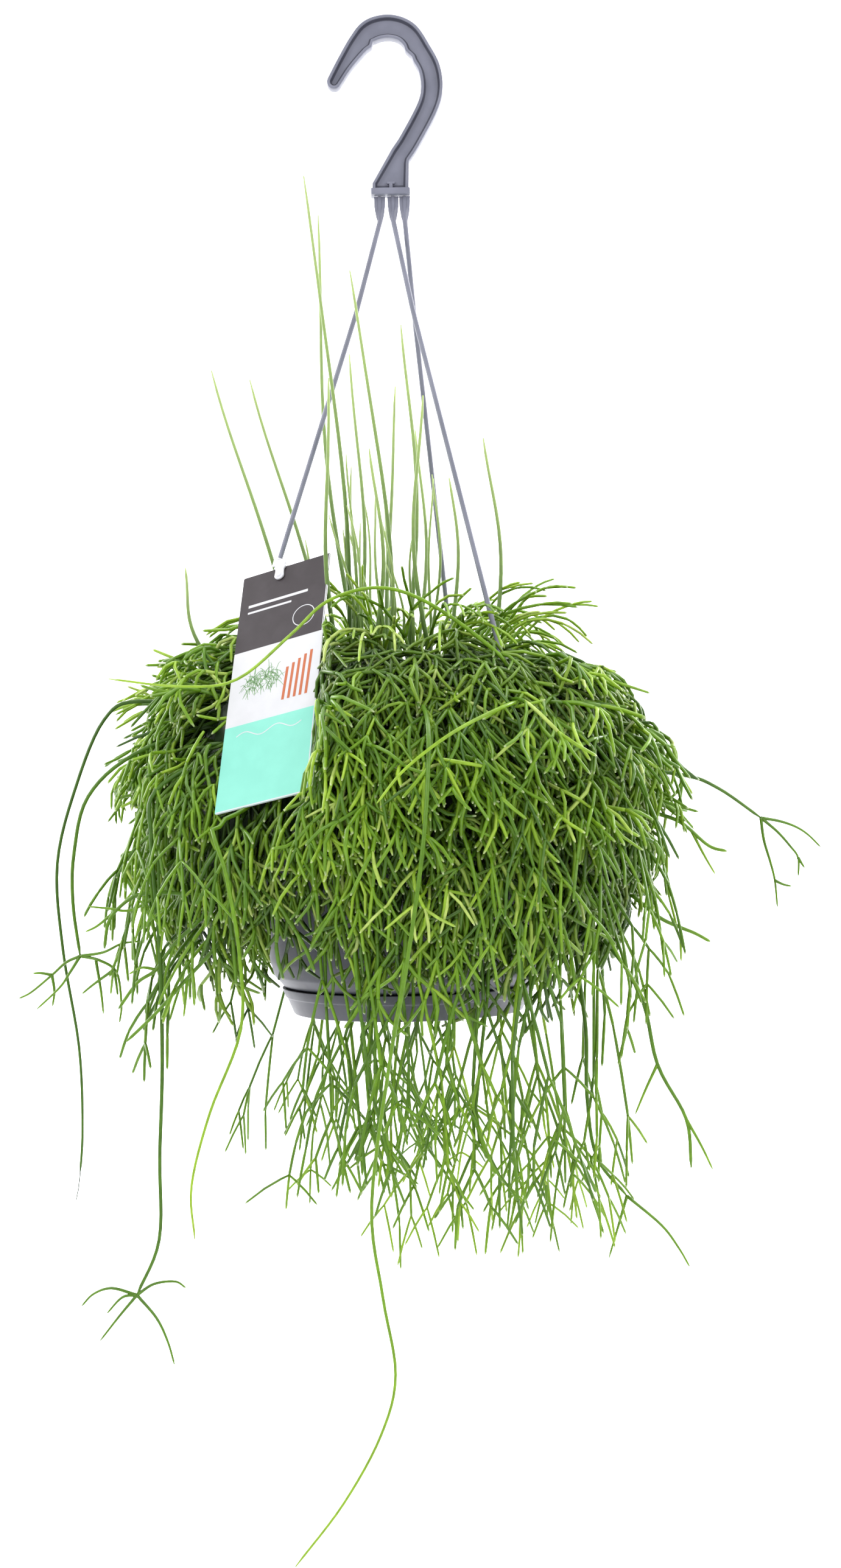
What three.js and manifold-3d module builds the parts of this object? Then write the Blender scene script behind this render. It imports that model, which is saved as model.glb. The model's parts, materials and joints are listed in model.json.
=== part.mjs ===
// A mistletoe cactus in a hanging pot: a flat plastic hook, three strands, a tapered pot with a
// clip-on saucer, soil, six bunches of jointed pencil-thin stems, and a care tag clipped to a strand.
// Millimetres, +Z up. The origin is the point where the hook's inner crown rests on what holds it.
// +X points to the side away from the hook's tip, and the broad face of the hook looks along -Y.
import * as THREE from "three";
import { mergeVertices } from "three/addons/utils/BufferGeometryUtils.js";
import Module from "manifold-3d";

const wasm = await Module();
wasm.setup();

// Driving dimensions of the made parts
const CLEARANCE = 0.3;
const HOOK_THICKNESS = 7;
const HOOK_RIM = 1.6;
const HOOK_WEB = 2.2;
const HOOK_FOOT_Z = -78.2;
const STRAND_RADIUS = 1.3;
const STRAND_SIDES = 8;
const STRAND_HOLE_RADIUS = 1.7;
const STRAND_SEAT_RADIUS = 88.9;
const STRAND_NECK_Z = -91;
const FAN_THICKNESS = 1.6;
const BARB = { radius: 2.5, tip: 1, height: 4, below: 4.5 };
const POT_RIM_Z = -350;
const POT_RIM_RADIUS = 92;
const POT_TOP_RADIUS = 86;
const POT_WALL = 1.8;
const FLANGE = 2.2;
const POT_SHOULDER = { radius: 68.6, z: -460 };
const POT_FLOOR_Z = -476;
const POT_FLOOR = 1.6;
const DRAINS = { count: 4, ring: 34, radius: 3 };
const FOOT_Z = -486;
const FOOT_RADIUS = 57.2;
const SAUCER_LIP_Z = -473;
const SAUCER_WALL = 1.4;
const ROUND_SIDES = 24;
const SOIL_Z = -361;
const ROOT_RADIUS = 8;
const ROOT_SIDES = 8;
const ROOT_DEPTH = 12;
const ROOT_RING_RADIUS = 46;
const TAG_SIZE = { width: 50, height: 139, thickness: 0.7 };
const TAG_CENTRE = new THREE.Vector3(-60.5, -53.9, -322.4);
const TAG_TURN = new THREE.Euler(...[54.8, -27.7, -4.6].map(THREE.MathUtils.degToRad));
const TAG_HOLE = { x: -3.3, below: 5, radius: 1.6 };
const CLIP = { thickness: 1, waist: 2.2, half: 2.6, lobe: 2.5, above: 4, pin: 1.1, head: 2.1 };
const CLIP_RING = { top: -259.6, bottom: -264.4, wall: 1, sides: 10 };

// Where each strand leaves the hook's foot, and the compass angle at which it meets the rim
const STRANDS = [
  { name: "strand_left", azimuth: 190, foot: -6.7, fan: 4.8 },
  { name: "strand_front", azimuth: 308, foot: 0, fan: 4.8 },
  { name: "strand_back", azimuth: 70, foot: 5.8, fan: 4.6 },
];

// Driving dimensions of the plant: a bunch fills the wedge between two compass angles
const BUNCH_EDGES = [190, 249, 308, 369, 429.4, 489, 550];
const STRAND_MARGIN = 3.9;
const BUNCH_MARGIN = 1.8;
const STEM_SIDES = 3;
const STEM_RADIUS = 1.45;
const TIP_RADIUS = 0.8;
const SPRAYS = 17;
const FORK_LENGTH = 2.6;
// The head's outer form and the heart that the sprays grow from, as radius and height from crown to hem
const HEAD = [
  [5, -281],
  [40, -284],
  [84, -296],
  [116, -313],
  [136, -339],
  [146, -370],
  [146, -402],
  [139, -436],
  [125, -470],
];
const HEART = [
  [12, -314],
  [42, -313],
  [74, -318],
  [95, -330],
  [105, -350],
  [108, -376],
  [108, -402],
  [106, -426],
  [101, -448],
];
// The heart's underside: over the rim, down outside the pot and back, and down to the soil
const HEART_UNDERSIDE = [
  [92, -448],
  [95, -400],
  [97, -354],
  [92, -344],
  [82, -344],
  [77, -350],
  [73, SOIL_Z + 0.6],
  [12, SOIL_Z + 0.6],
];
// The heart is combed into ridges with furrows of this depth between them
const HEART_STEPS = 8;
const FURROW = 5;
const HEART_FULL_RADIUS = 108;
// The head is flatter towards the side where the tag leans on it
const FLAT_SIDE = 235;
const FLAT_SHARE = 0.45;
const FLAT_FROM_RADIUS = 98;
// Stems pass behind the tag with this gap, and may come forward again away from its edges
const TAG_ROOM = 2.7;
const TAG_SLOPE = 0.6;

const PLASTIC = new THREE.MeshStandardMaterial({ color: 0x7c7f92, roughness: 0.42, metalness: 0 });
const DARK_PLASTIC = new THREE.MeshStandardMaterial({ color: 0x44464f, roughness: 0.38, metalness: 0 });
const PEAT = new THREE.MeshStandardMaterial({ color: 0x2b2019, roughness: 0.95, metalness: 0 });
const CARD = new THREE.MeshStandardMaterial({ color: 0x9fe6d8, roughness: 0.35, metalness: 0 });
const WHITE_PLASTIC = new THREE.MeshStandardMaterial({ color: 0xf2f0f4, roughness: 0.4, metalness: 0 });
const STEM = new THREE.MeshStandardMaterial({ color: 0x5f9a2b, roughness: 0.5, metalness: 0 });

const object = new THREE.Group();

// A closed mesh as a solid, with its vertices merged, its collapsed faces dropped and its faces out
function solid(geometry) {
  const bare = geometry.index ? geometry.toNonIndexed() : geometry.clone();
  bare.deleteAttribute("normal");
  bare.deleteAttribute("uv");
  const merged = mergeVertices(bare, 1e-4);
  const faces = [];
  const index = merged.index.array;
  for (let i = 0; i < index.length; i += 3) {
    const [a, b, c] = [index[i], index[i + 1], index[i + 2]];
    if (a !== b && b !== c && c !== a) faces.push(a, b, c);
  }
  const make = (triVerts) =>
    new wasm.Manifold(
      new wasm.Mesh({
        numProp: 3,
        vertProperties: new Float32Array(merged.attributes.position.array),
        triVerts: new Uint32Array(triVerts),
      }),
    );
  const made = make(faces);
  return made.volume() > 0 ? made : make(faces.reverse());
}

function join(solids) {
  return wasm.Manifold.union(solids);
}

// The largest body of a union, which leaves out loose scraps and fills sealed hollows
function mainBody(made) {
  const bodies = made.decompose();
  return bodies.reduce((best, body) => (body.volume() > best.volume() ? body : best));
}

function addPart(name, made, material) {
  const mesh = made.getMesh();
  const position = new Float32Array(mesh.numVert * 3);
  for (let i = 0; i < mesh.numVert; i++) {
    position.set(mesh.vertProperties.subarray(i * mesh.numProp, i * mesh.numProp + 3), i * 3);
  }
  const geometry = new THREE.BufferGeometry();
  geometry.setAttribute("position", new THREE.BufferAttribute(position, 3));
  geometry.setIndex(new THREE.BufferAttribute(mesh.triVerts, 1));
  geometry.computeVertexNormals();
  const part = new THREE.Mesh(geometry, material);
  part.name = name;
  object.add(part);
}

// A body turned about the Z axis from a closed [radius, height] outline
function turned(outline, sides = ROUND_SIDES) {
  const points = outline.map(([radius, z]) => new THREE.Vector2(radius, z));
  const open = outline[0][0] === 0 && outline.at(-1)[0] === 0;
  if (!open) points.push(points[0].clone());
  return solid(new THREE.LatheGeometry(points, sides).rotateX(Math.PI / 2));
}

// A plate with its outline in the XZ plane, its thickness centred on Y
function plate(outline, thickness) {
  const shape = new THREE.Shape(outline.map(([x, z]) => new THREE.Vector2(x, z)));
  const geometry = new THREE.ExtrudeGeometry(shape, { depth: thickness, bevelEnabled: false });
  return solid(geometry.translate(0, 0, -thickness / 2).rotateX(Math.PI / 2));
}

// A round bar between two points
function bar(from, to, radius, sides) {
  const span = new THREE.Vector3().subVectors(to, from);
  const geometry = new THREE.CylinderGeometry(radius, radius, span.length(), sides);
  const turn = new THREE.Quaternion().setFromUnitVectors(new THREE.Vector3(0, 1, 0), span.normalize());
  geometry.applyQuaternion(turn);
  const middle = new THREE.Vector3().addVectors(from, to).multiplyScalar(0.5);
  return solid(geometry.translate(...middle));
}

// A closed tube along points, with a radius at each point and flat ends
function tube(points, radii, sides) {
  const position = [];
  const index = [];
  const across = new THREE.Vector3(0.31, 0.74, 0.59);
  points.forEach((point, i) => {
    const before = points[Math.max(i - 1, 0)];
    const after = points[Math.min(i + 1, points.length - 1)];
    const along = new THREE.Vector3().subVectors(after, before).normalize();
    across.addScaledVector(along, -across.dot(along)).normalize();
    const third = new THREE.Vector3().crossVectors(along, across);
    for (let s = 0; s < sides; s++) {
      const angle = (2 * Math.PI * s) / sides;
      const corner = point.clone();
      corner.addScaledVector(across, radii[i] * Math.cos(angle));
      corner.addScaledVector(third, radii[i] * Math.sin(angle));
      position.push(...corner);
    }
  });
  for (let i = 0; i + 1 < points.length; i++) {
    for (let s = 0; s < sides; s++) {
      const a = i * sides + s;
      const b = i * sides + ((s + 1) % sides);
      index.push(a, b, b + sides, a, b + sides, a + sides);
    }
  }
  const last = (points.length - 1) * sides;
  for (let s = 1; s + 1 < sides; s++) {
    index.push(0, s + 1, s, last, last + s, last + s + 1);
  }
  const geometry = new THREE.BufferGeometry();
  geometry.setAttribute("position", new THREE.Float32BufferAttribute(position, 3));
  geometry.setIndex(index);
  return solid(geometry);
}

// A closed three-sided stem along an axis, with forks that grow out of its sides just before a joint
function forkedStem({ axis, forks = [] }, radius, tipRadius) {
  const corners = [];
  const index = [];
  const across = new THREE.Vector3(0.31, 0.74, 0.59);
  const forksAt = (i) => forks.filter((fork) => fork.at === i);
  const addRing = (point, along, size, start) => {
    start.addScaledVector(along, -start.dot(along)).normalize();
    const third = new THREE.Vector3().crossVectors(along, start);
    for (let s = 0; s < STEM_SIDES; s++) {
      const angle = (2 * Math.PI * s) / STEM_SIDES;
      const corner = point.clone().addScaledVector(start, size * Math.cos(angle));
      corners.push(corner.addScaledVector(third, size * Math.sin(angle)));
    }
    return corners.length - STEM_SIDES;
  };
  const addWalls = (from, to, open = []) => {
    for (let s = 0; s < STEM_SIDES; s++) {
      const next = (s + 1) % STEM_SIDES;
      if (!open.includes(s)) index.push(from + s, from + next, to + next);
      index.push(from + s, to + next, to + s);
    }
  };
  const sideFacing = (ring, direction, taken) => {
    const middle = new THREE.Vector3();
    for (let s = 0; s < STEM_SIDES; s++) middle.addScaledVector(corners[ring + s], 1 / STEM_SIDES);
    const facing = (s) => {
      const next = (s + 1) % STEM_SIDES;
      const half = corners[ring + s].clone().add(corners[ring + next]).multiplyScalar(0.5);
      return half.sub(middle).dot(direction);
    };
    const free = [...Array(STEM_SIDES).keys()].filter((s) => !taken.includes(s));
    return free.reduce((best, s) => (facing(s) > facing(best) ? s : best));
  };
  const addFork = (ring, joint, side, tip) => {
    const root = [ring + side, ring + ((side + 1) % STEM_SIDES), joint + ((side + 1) % STEM_SIDES)];
    const middle = new THREE.Vector3();
    root.forEach((corner) => middle.addScaledVector(corners[corner], 1 / root.length));
    const along = tip.clone().sub(middle).normalize();
    const end = addRing(tip, along, tipRadius, corners[root[0]].clone().sub(middle));
    root.forEach((corner, s) => {
      const next = (s + 1) % STEM_SIDES;
      index.push(corner, root[next], end + next, corner, end + next, end + s);
    });
    index.push(end, end + 1, end + 2);
  };
  let previous = null;
  axis.forEach((point, i) => {
    const before = axis[Math.max(i - 1, 0)];
    const after = axis[Math.min(i + 1, axis.length - 1)];
    const along = after.clone().sub(before).normalize();
    const size = i === axis.length - 1 ? tipRadius : radius;
    const here = forksAt(i);
    if (here.length > 0) {
      const back = before.clone().sub(point).setLength(FORK_LENGTH);
      const collar = addRing(point.clone().add(back), back.clone().negate().normalize(), radius, across);
      addWalls(previous, collar);
      const joint = addRing(point, along, size, across);
      const open = [];
      here.forEach(({ to }) => open.push(sideFacing(collar, to.clone().sub(point), open)));
      addWalls(collar, joint, open);
      here.forEach(({ to }, k) => addFork(collar, joint, open[k], to));
      previous = joint;
      return;
    }
    const ring = addRing(point, along, size, across);
    if (previous === null) index.push(ring, ring + 2, ring + 1);
    else addWalls(previous, ring);
    previous = ring;
  });
  index.push(previous, previous + 1, previous + 2);
  const geometry = new THREE.BufferGeometry();
  geometry.setAttribute("position", new THREE.Float32BufferAttribute(corners.flatMap((c) => c.toArray()), 3));
  geometry.setIndex(index);
  return solid(geometry);
}

// A point given by compass angle in degrees, radius and height
function polar(azimuth, radius, z) {
  const angle = THREE.MathUtils.degToRad(azimuth);
  return new THREE.Vector3(radius * Math.cos(angle), radius * Math.sin(angle), z);
}

// The hook: a band of changing width along a centre line, then a foot with a flange
const HOOK_LINE = [
  [-28.3, -21.3, 3.6],
  [-22.7, -12.1, 4.2],
  [-15.3, -2.0, 5.4],
  [-9.1, 4.2, 5.8],
  [0.2, 5.9, 5.85],
  [8.8, 2.5, 5.7],
  [15.1, -6.9, 5.6],
  [19.4, -15.4, 5.5],
  [20.5, -25.2, 5.5],
  [18.0, -35.0, 5.3],
  [9.2, -51.0, 5.25],
  [4.2, -58.4, 5.25],
];
const HOOK_STEPS = 22;
const TIP_STEPS = 5;

function hookOutline(inset) {
  const line = new THREE.CatmullRomCurve3(HOOK_LINE.map(([x, z]) => new THREE.Vector3(x, 0, z)));
  const outer = [];
  const inner = [];
  for (let i = 0; i <= HOOK_STEPS; i++) {
    const t = i / HOOK_STEPS;
    const place = t * (HOOK_LINE.length - 1);
    const row = Math.min(Math.floor(place), HOOK_LINE.length - 2);
    const half = THREE.MathUtils.lerp(HOOK_LINE[row][2], HOOK_LINE[row + 1][2], place - row) - inset;
    const point = line.getPoint(t);
    const along = line.getTangent(t);
    outer.push([point.x - along.z * half, point.z + along.x * half]);
    inner.push([point.x + along.z * half, point.z - along.x * half]);
  }
  const [tipX, tipZ, tipHalf] = HOOK_LINE[0];
  const start = line.getTangent(0);
  const facing = Math.atan2(-start.z, -start.x);
  const tip = [];
  for (let i = 1; i < TIP_STEPS; i++) {
    const angle = facing + Math.PI / 2 - (Math.PI * i) / TIP_STEPS;
    tip.push([tipX + (tipHalf - inset) * Math.cos(angle), tipZ + (tipHalf - inset) * Math.sin(angle)]);
  }
  const foot = [
    [8.4 - inset, -62.4],
    [7.9 - inset, HOOK_FOOT_Z + 1.5 * inset],
    [-10.2 + inset, HOOK_FOOT_Z + 1.5 * inset],
    [-10.2 + inset, -72.6],
  ];
  return [...outer, ...foot, ...inner.reverse(), ...tip];
}

function makeHook() {
  const recessDepth = (HOOK_THICKNESS - HOOK_WEB) / 2;
  const recess = plate(hookOutline(HOOK_RIM), recessDepth);
  const shift = (HOOK_WEB + recessDepth) / 2;
  const flange = plate(
    [
      [8.6, HOOK_FOOT_Z + 3.2],
      [8.6, HOOK_FOOT_Z],
      [-10.9, HOOK_FOOT_Z],
      [-10.9, HOOK_FOOT_Z + 3.2],
    ],
    HOOK_THICKNESS + 1.6,
  );
  const nub = plate(
    [
      [0.3, HOOK_FOOT_Z + 6],
      [0.3, HOOK_FOOT_Z + 3],
      [-2, HOOK_FOOT_Z + 3],
      [-2, HOOK_FOOT_Z + 6],
    ],
    HOOK_THICKNESS - 1.4,
  );
  return plate(hookOutline(0), HOOK_THICKNESS)
    .subtract(recess.translate([0, shift, 0]))
    .subtract(recess.translate([0, -shift, 0]))
    .add(flange)
    .add(nub);
}

// Strands: a flat fan under the hook's foot that narrows to a cord, down to a barb under the rim
function strandLine({ azimuth, foot }) {
  const top = new THREE.Vector3(foot, 0, HOOK_FOOT_Z - CLEARANCE);
  const neck = new THREE.Vector3(foot, 0, STRAND_NECK_Z);
  const seat = polar(azimuth, STRAND_SEAT_RADIUS, POT_RIM_Z);
  const bow = neck.clone().lerp(seat, 0.18);
  bow.x -= 0.02 * (seat.x - neck.x);
  bow.y -= 0.02 * (seat.y - neck.y);
  const low = seat.clone().setZ(POT_RIM_Z + 4);
  const end = seat.clone().setZ(POT_RIM_Z - FLANGE - BARB.below);
  return { top, neck, bow, low, end };
}

function makeStrand(strand) {
  const { top, neck, bow, low, end } = strandLine(strand);
  const half = strand.fan / 2;
  const fan = plate(
    [
      [top.x - half, top.z],
      [top.x + half, top.z],
      [neck.x + STRAND_RADIUS * 0.8, neck.z],
      [neck.x - STRAND_RADIUS * 0.8, neck.z],
    ],
    FAN_THICKNESS,
  );
  const points = [top.clone().setZ(top.z - 1), neck, bow, low, end];
  const cord = tube(points, points.map(() => STRAND_RADIUS), STRAND_SIDES);
  const shoulder = end.clone().setZ(end.z + BARB.below - CLEARANCE);
  const cone = new THREE.CylinderGeometry(BARB.radius, BARB.tip, BARB.height, STRAND_SIDES);
  const lowered = shoulder.clone().setZ(shoulder.z - BARB.height / 2);
  const barb = solid(cone.rotateX(Math.PI / 2).translate(...lowered));
  return join([fan, cord, barb]);
}

// The pot, its saucer and the soil are turned; the pot's inner wall gives the soil its sides
function potInnerRadius(z) {
  const share = (POT_RIM_Z - z) / (POT_RIM_Z - POT_SHOULDER.z);
  return THREE.MathUtils.lerp(POT_TOP_RADIUS, POT_SHOULDER.radius, share) - POT_WALL;
}

function makePot() {
  const outline = [
    [0, POT_FLOOR_Z],
    [FOOT_RADIUS - 3.6, POT_FLOOR_Z],
    [FOOT_RADIUS - 3, FOOT_Z + SAUCER_WALL + CLEARANCE],
    [FOOT_RADIUS - 0.6, FOOT_Z + SAUCER_WALL + CLEARANCE],
    [FOOT_RADIUS, FOOT_Z + 4.4],
    [FOOT_RADIUS - 1, FOOT_Z + 6.6],
    [FOOT_RADIUS - 0.8, POT_FLOOR_Z + POT_FLOOR],
    [62, -472.2],
    [66.6, -467],
    [POT_SHOULDER.radius, POT_SHOULDER.z],
    [POT_TOP_RADIUS - 0.3, POT_RIM_Z - FLANGE],
    [POT_RIM_RADIUS, POT_RIM_Z - FLANGE],
    [POT_RIM_RADIUS, POT_RIM_Z],
    [potInnerRadius(POT_RIM_Z), POT_RIM_Z],
    [potInnerRadius(POT_SHOULDER.z), POT_SHOULDER.z],
    [64.6, -466],
    [60.6, -470.6],
    [55.4, POT_FLOOR_Z + POT_FLOOR],
    [0, POT_FLOOR_Z + POT_FLOOR],
  ];
  const cuts = STRANDS.map(({ azimuth }) => {
    const top = polar(azimuth, STRAND_SEAT_RADIUS, POT_RIM_Z + 2);
    return bar(top, top.clone().setZ(POT_RIM_Z - FLANGE - 2), STRAND_HOLE_RADIUS, STRAND_SIDES);
  });
  for (let i = 0; i < DRAINS.count; i++) {
    const top = polar((360 * (i + 0.5)) / DRAINS.count, DRAINS.ring, POT_FLOOR_Z + 4);
    cuts.push(bar(top, top.clone().setZ(POT_FLOOR_Z - 2), DRAINS.radius, STRAND_SIDES));
  }
  return turned(outline).subtract(join(cuts));
}

function makeSaucer() {
  return turned([
    [0, FOOT_Z],
    [FOOT_RADIUS, FOOT_Z],
    [63, SAUCER_LIP_Z],
    [61.2, SAUCER_LIP_Z],
    [59, FOOT_Z + 7.4],
    [FOOT_RADIUS - 0.5, FOOT_Z + 6.1],
    [FOOT_RADIUS + 0.4, FOOT_Z + 4.4],
    [FOOT_RADIUS + 0.1, FOOT_Z + SAUCER_WALL],
    [0, FOOT_Z + SAUCER_WALL],
  ]);
}

function bunchMiddle(b) {
  return (BUNCH_EDGES[b] + BUNCH_EDGES[b + 1]) / 2;
}

function makeSoil() {
  const gap = CLEARANCE;
  const body = turned([
    [0, POT_FLOOR_Z + POT_FLOOR + gap],
    [55, POT_FLOOR_Z + POT_FLOOR + gap],
    [60.1, -470.2],
    [64.1, -465.6],
    [potInnerRadius(POT_SHOULDER.z) - gap, POT_SHOULDER.z],
    [potInnerRadius(SOIL_Z) - gap, SOIL_Z],
    [0, SOIL_Z],
  ]);
  const holes = [];
  for (let b = 0; b + 1 < BUNCH_EDGES.length; b++) {
    const top = polar(bunchMiddle(b), ROOT_RING_RADIUS, SOIL_Z + 2);
    const bottom = top.clone().setZ(SOIL_Z - ROOT_DEPTH - gap);
    holes.push(bar(top, bottom, ROOT_RADIUS + gap, ROOT_SIDES));
  }
  return body.subtract(join(holes));
}

// The tag is a plain card; its clip passes through the card's hole and rings the left strand
const tagMatrix = new THREE.Matrix4().makeRotationFromEuler(TAG_TURN).setPosition(TAG_CENTRE);
const tagInverse = tagMatrix.clone().invert();

function inTagFrame(geometry) {
  return solid(geometry.applyMatrix4(tagMatrix));
}

function makeTag() {
  const { width, height, thickness } = TAG_SIZE;
  const shape = new THREE.Shape();
  shape.moveTo(-width / 2, -height / 2);
  shape.lineTo(width / 2, -height / 2);
  shape.lineTo(width / 2, height / 2);
  shape.lineTo(-width / 2, height / 2);
  const hole = new THREE.Path();
  hole.absarc(TAG_HOLE.x, height / 2 - TAG_HOLE.below, TAG_HOLE.radius, 0, 2 * Math.PI, true);
  shape.holes.push(hole);
  const settings = { depth: thickness, bevelEnabled: false, curveSegments: 10 };
  const geometry = new THREE.ExtrudeGeometry(shape, settings);
  return inTagFrame(geometry.translate(0, 0, -thickness / 2));
}

function pointOnStrand(strand, z) {
  const { bow, low } = strandLine(strand);
  return bow.clone().lerp(low, (bow.z - z) / (bow.z - low.z));
}

function makeClip() {
  const front = TAG_SIZE.thickness / 2 + CLEARANCE;
  const edge = TAG_SIZE.height / 2;
  const holeY = edge - TAG_HOLE.below;
  const face = new THREE.Shape();
  face.moveTo(TAG_HOLE.x - CLIP.half, edge + CLIP.above);
  face.lineTo(TAG_HOLE.x - CLIP.half - 0.5, edge - 0.6);
  face.lineTo(TAG_HOLE.x - CLIP.waist, edge - 1.6);
  face.lineTo(TAG_HOLE.x - CLIP.waist - 0.2, edge - 4.6);
  face.absarc(TAG_HOLE.x, holeY, CLIP.lobe, Math.PI, 2 * Math.PI, false);
  face.lineTo(TAG_HOLE.x + CLIP.waist, edge - 1.6);
  face.lineTo(TAG_HOLE.x + CLIP.half + 0.5, edge - 0.6);
  face.lineTo(TAG_HOLE.x + CLIP.half, edge + CLIP.above);
  const settings = { depth: CLIP.thickness, bevelEnabled: false, curveSegments: 6 };
  const frontPlate = inTagFrame(new THREE.ExtrudeGeometry(face, settings).translate(0, 0, front));
  const behindHole = (z) => new THREE.Vector3(TAG_HOLE.x, holeY, z).applyMatrix4(tagMatrix);
  const pin = bar(behindHole(front + 0.5), behindHole(-front - 0.6), CLIP.pin, STRAND_SIDES);
  const head = bar(behindHole(-front), behindHole(-front - 0.7), CLIP.head, STRAND_SIDES);
  const [left] = STRANDS;
  const top = pointOnStrand(left, CLIP_RING.top);
  const bottom = pointOnStrand(left, CLIP_RING.bottom);
  const through = new THREE.Vector3().subVectors(top, bottom);
  const inside = STRAND_RADIUS + CLEARANCE;
  const bore = bar(bottom.clone().sub(through), top.clone().add(through), inside, CLIP_RING.sides);
  const ring = bar(bottom, top, inside + CLIP_RING.wall, CLIP_RING.sides);
  const bridgeGeometry = new THREE.BoxGeometry(2 * CLIP.waist, 3, 4.2);
  const bridge = inTagFrame(bridgeGeometry.translate(TAG_HOLE.x, edge + 2.2, front - 1.2));
  const { width, height, thickness } = TAG_SIZE;
  const card = new THREE.BoxGeometry(width, height, thickness + 2 * CLEARANCE);
  const room = inTagFrame(card.translate(0, CLEARANCE, 0));
  const body = join([frontPlate, bridge, ring]).subtract(bore).subtract(room);
  return join([body, pin, head]);
}

// A stream of repeatable draws from 0 to 1 (mulberry32)
function draws(seed) {
  let state = seed;
  return () => {
    state = (state + 0x6d2b79f5) | 0;
    let mixed = Math.imul(state ^ (state >>> 15), 1 | state);
    mixed = (mixed + Math.imul(mixed ^ (mixed >>> 7), 61 | mixed)) ^ mixed;
    return ((mixed ^ (mixed >>> 14)) >>> 0) / 4294967296;
  };
}

// A radius drawn in on the flat side
function flattened(radius, azimuth) {
  const facing = Math.max(Math.cos(THREE.MathUtils.degToRad(azimuth - FLAT_SIDE)), 0);
  const beyond = Math.max(radius - FLAT_FROM_RADIUS, 0);
  return radius - FLAT_SHARE * facing * facing * beyond;
}

// The point at a share h of the way from crown to hem; depth 0 is the head's surface, 1 its heart
function headPoint(h, depth, azimuth) {
  const place = Math.min(Math.max(h, 0), 0.9999) * (HEAD.length - 1);
  const row = Math.floor(place);
  const mix = (a, b, t) => a + (b - a) * t;
  const at = (table, k) => mix(table[row][k], table[row + 1][k], place - row);
  const radius = mix(at(HEAD, 0), at(HEART, 0), depth);
  return polar(azimuth, flattened(radius, azimuth), mix(at(HEAD, 1), at(HEART, 1), depth));
}

// A point pushed clear of the two planes that bound its bunch
function keptInWedge(point, b) {
  const inWedge = point.clone();
  [0, 1].forEach((side) => {
    const edge = THREE.MathUtils.degToRad(BUNCH_EDGES[b + side]);
    const sign = side === 0 ? 1 : -1;
    const hasStrand = (b + side) % 2 === 0;
    const margin = hasStrand ? STRAND_MARGIN : BUNCH_MARGIN;
    const normal = new THREE.Vector3(-Math.sin(edge) * sign, Math.cos(edge) * sign, 0);
    const inside = inWedge.dot(normal);
    if (inside < margin) inWedge.addScaledVector(normal, margin - inside);
  });
  return inWedge;
}

// A point bent back behind the tag, or behind the slope that rises from the tag's edges
function keptBehindTag(point) {
  const local = point.clone().applyMatrix4(tagInverse);
  const beside = Math.max(Math.abs(local.x) - TAG_SIZE.width / 2, 0);
  const beyond = Math.max(Math.abs(local.y) - TAG_SIZE.height / 2, 0);
  local.z = Math.min(local.z, TAG_SLOPE * Math.hypot(beside, beyond) - TAG_ROOM);
  return local.applyMatrix4(tagMatrix);
}

function kept(point, b) {
  return keptInWedge(keptBehindTag(point), b);
}

// One spray of the head: a stem that leaves the heart and bends twice, with two forks at each bend
function spray(b, k) {
  const random = draws(1000 * (b + 1) + k);
  const spread = 2 * ((0.5 + k * 0.7548776662) % 1) - 1;
  const start = 0.84 * ((0.5 + k * 0.5698402910) % 1);
  const azimuth = bunchMiddle(b) + 27 * spread;
  const at = (h, depth, sideways) => {
    const level = headPoint(h, depth, 0);
    const swing = THREE.MathUtils.radToDeg(sideways / Math.max(level.x, 18));
    return kept(headPoint(h, depth, azimuth + swing), b);
  };
  const drift = 12 * (random() - 0.5);
  const side = random() < 0.5 ? -1 : 1;
  const lift = 0.16 * random();
  const axis = [
    at(start - 0.03, 1.3, 0),
    at(start + 0.035, 0.66, 0.3 * drift),
    at(start + 0.095, 0.36 - lift, 0.7 * drift),
    at(start + 0.16, 0.1 - lift, drift - side * 5),
  ];
  const reach = () => 9 + 5 * random();
  const forks = [
    { at: 1, to: at(start + 0.105, 0.4 - lift, drift + side * reach()) },
    { at: 1, to: at(start + 0.095, 0.52 - lift, 0.4 * drift - side * reach()) },
    { at: 2, to: at(start + 0.155, 0.14 - lift, 0.8 * drift + side * reach()) },
    { at: 2, to: at(start + 0.145, 0.26 - lift, 0.7 * drift - side * (4 + reach())) },
  ];
  return { axis, forks };
}

// Chains of joints that hang from the hem: how many in each bunch, from where to where, how low
const CHAINS = [
  { count: 3, from: 230, to: 246, low: -560 },
  { count: 6, from: 252, to: 305, low: -600 },
  { count: 6, from: 312, to: 366, low: -596 },
  { count: 5, from: 373, to: 426, low: -590 },
  { count: 5, from: 434, to: 486, low: -598 },
  { count: 2, from: 492, to: 512, low: -560 },
];

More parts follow.
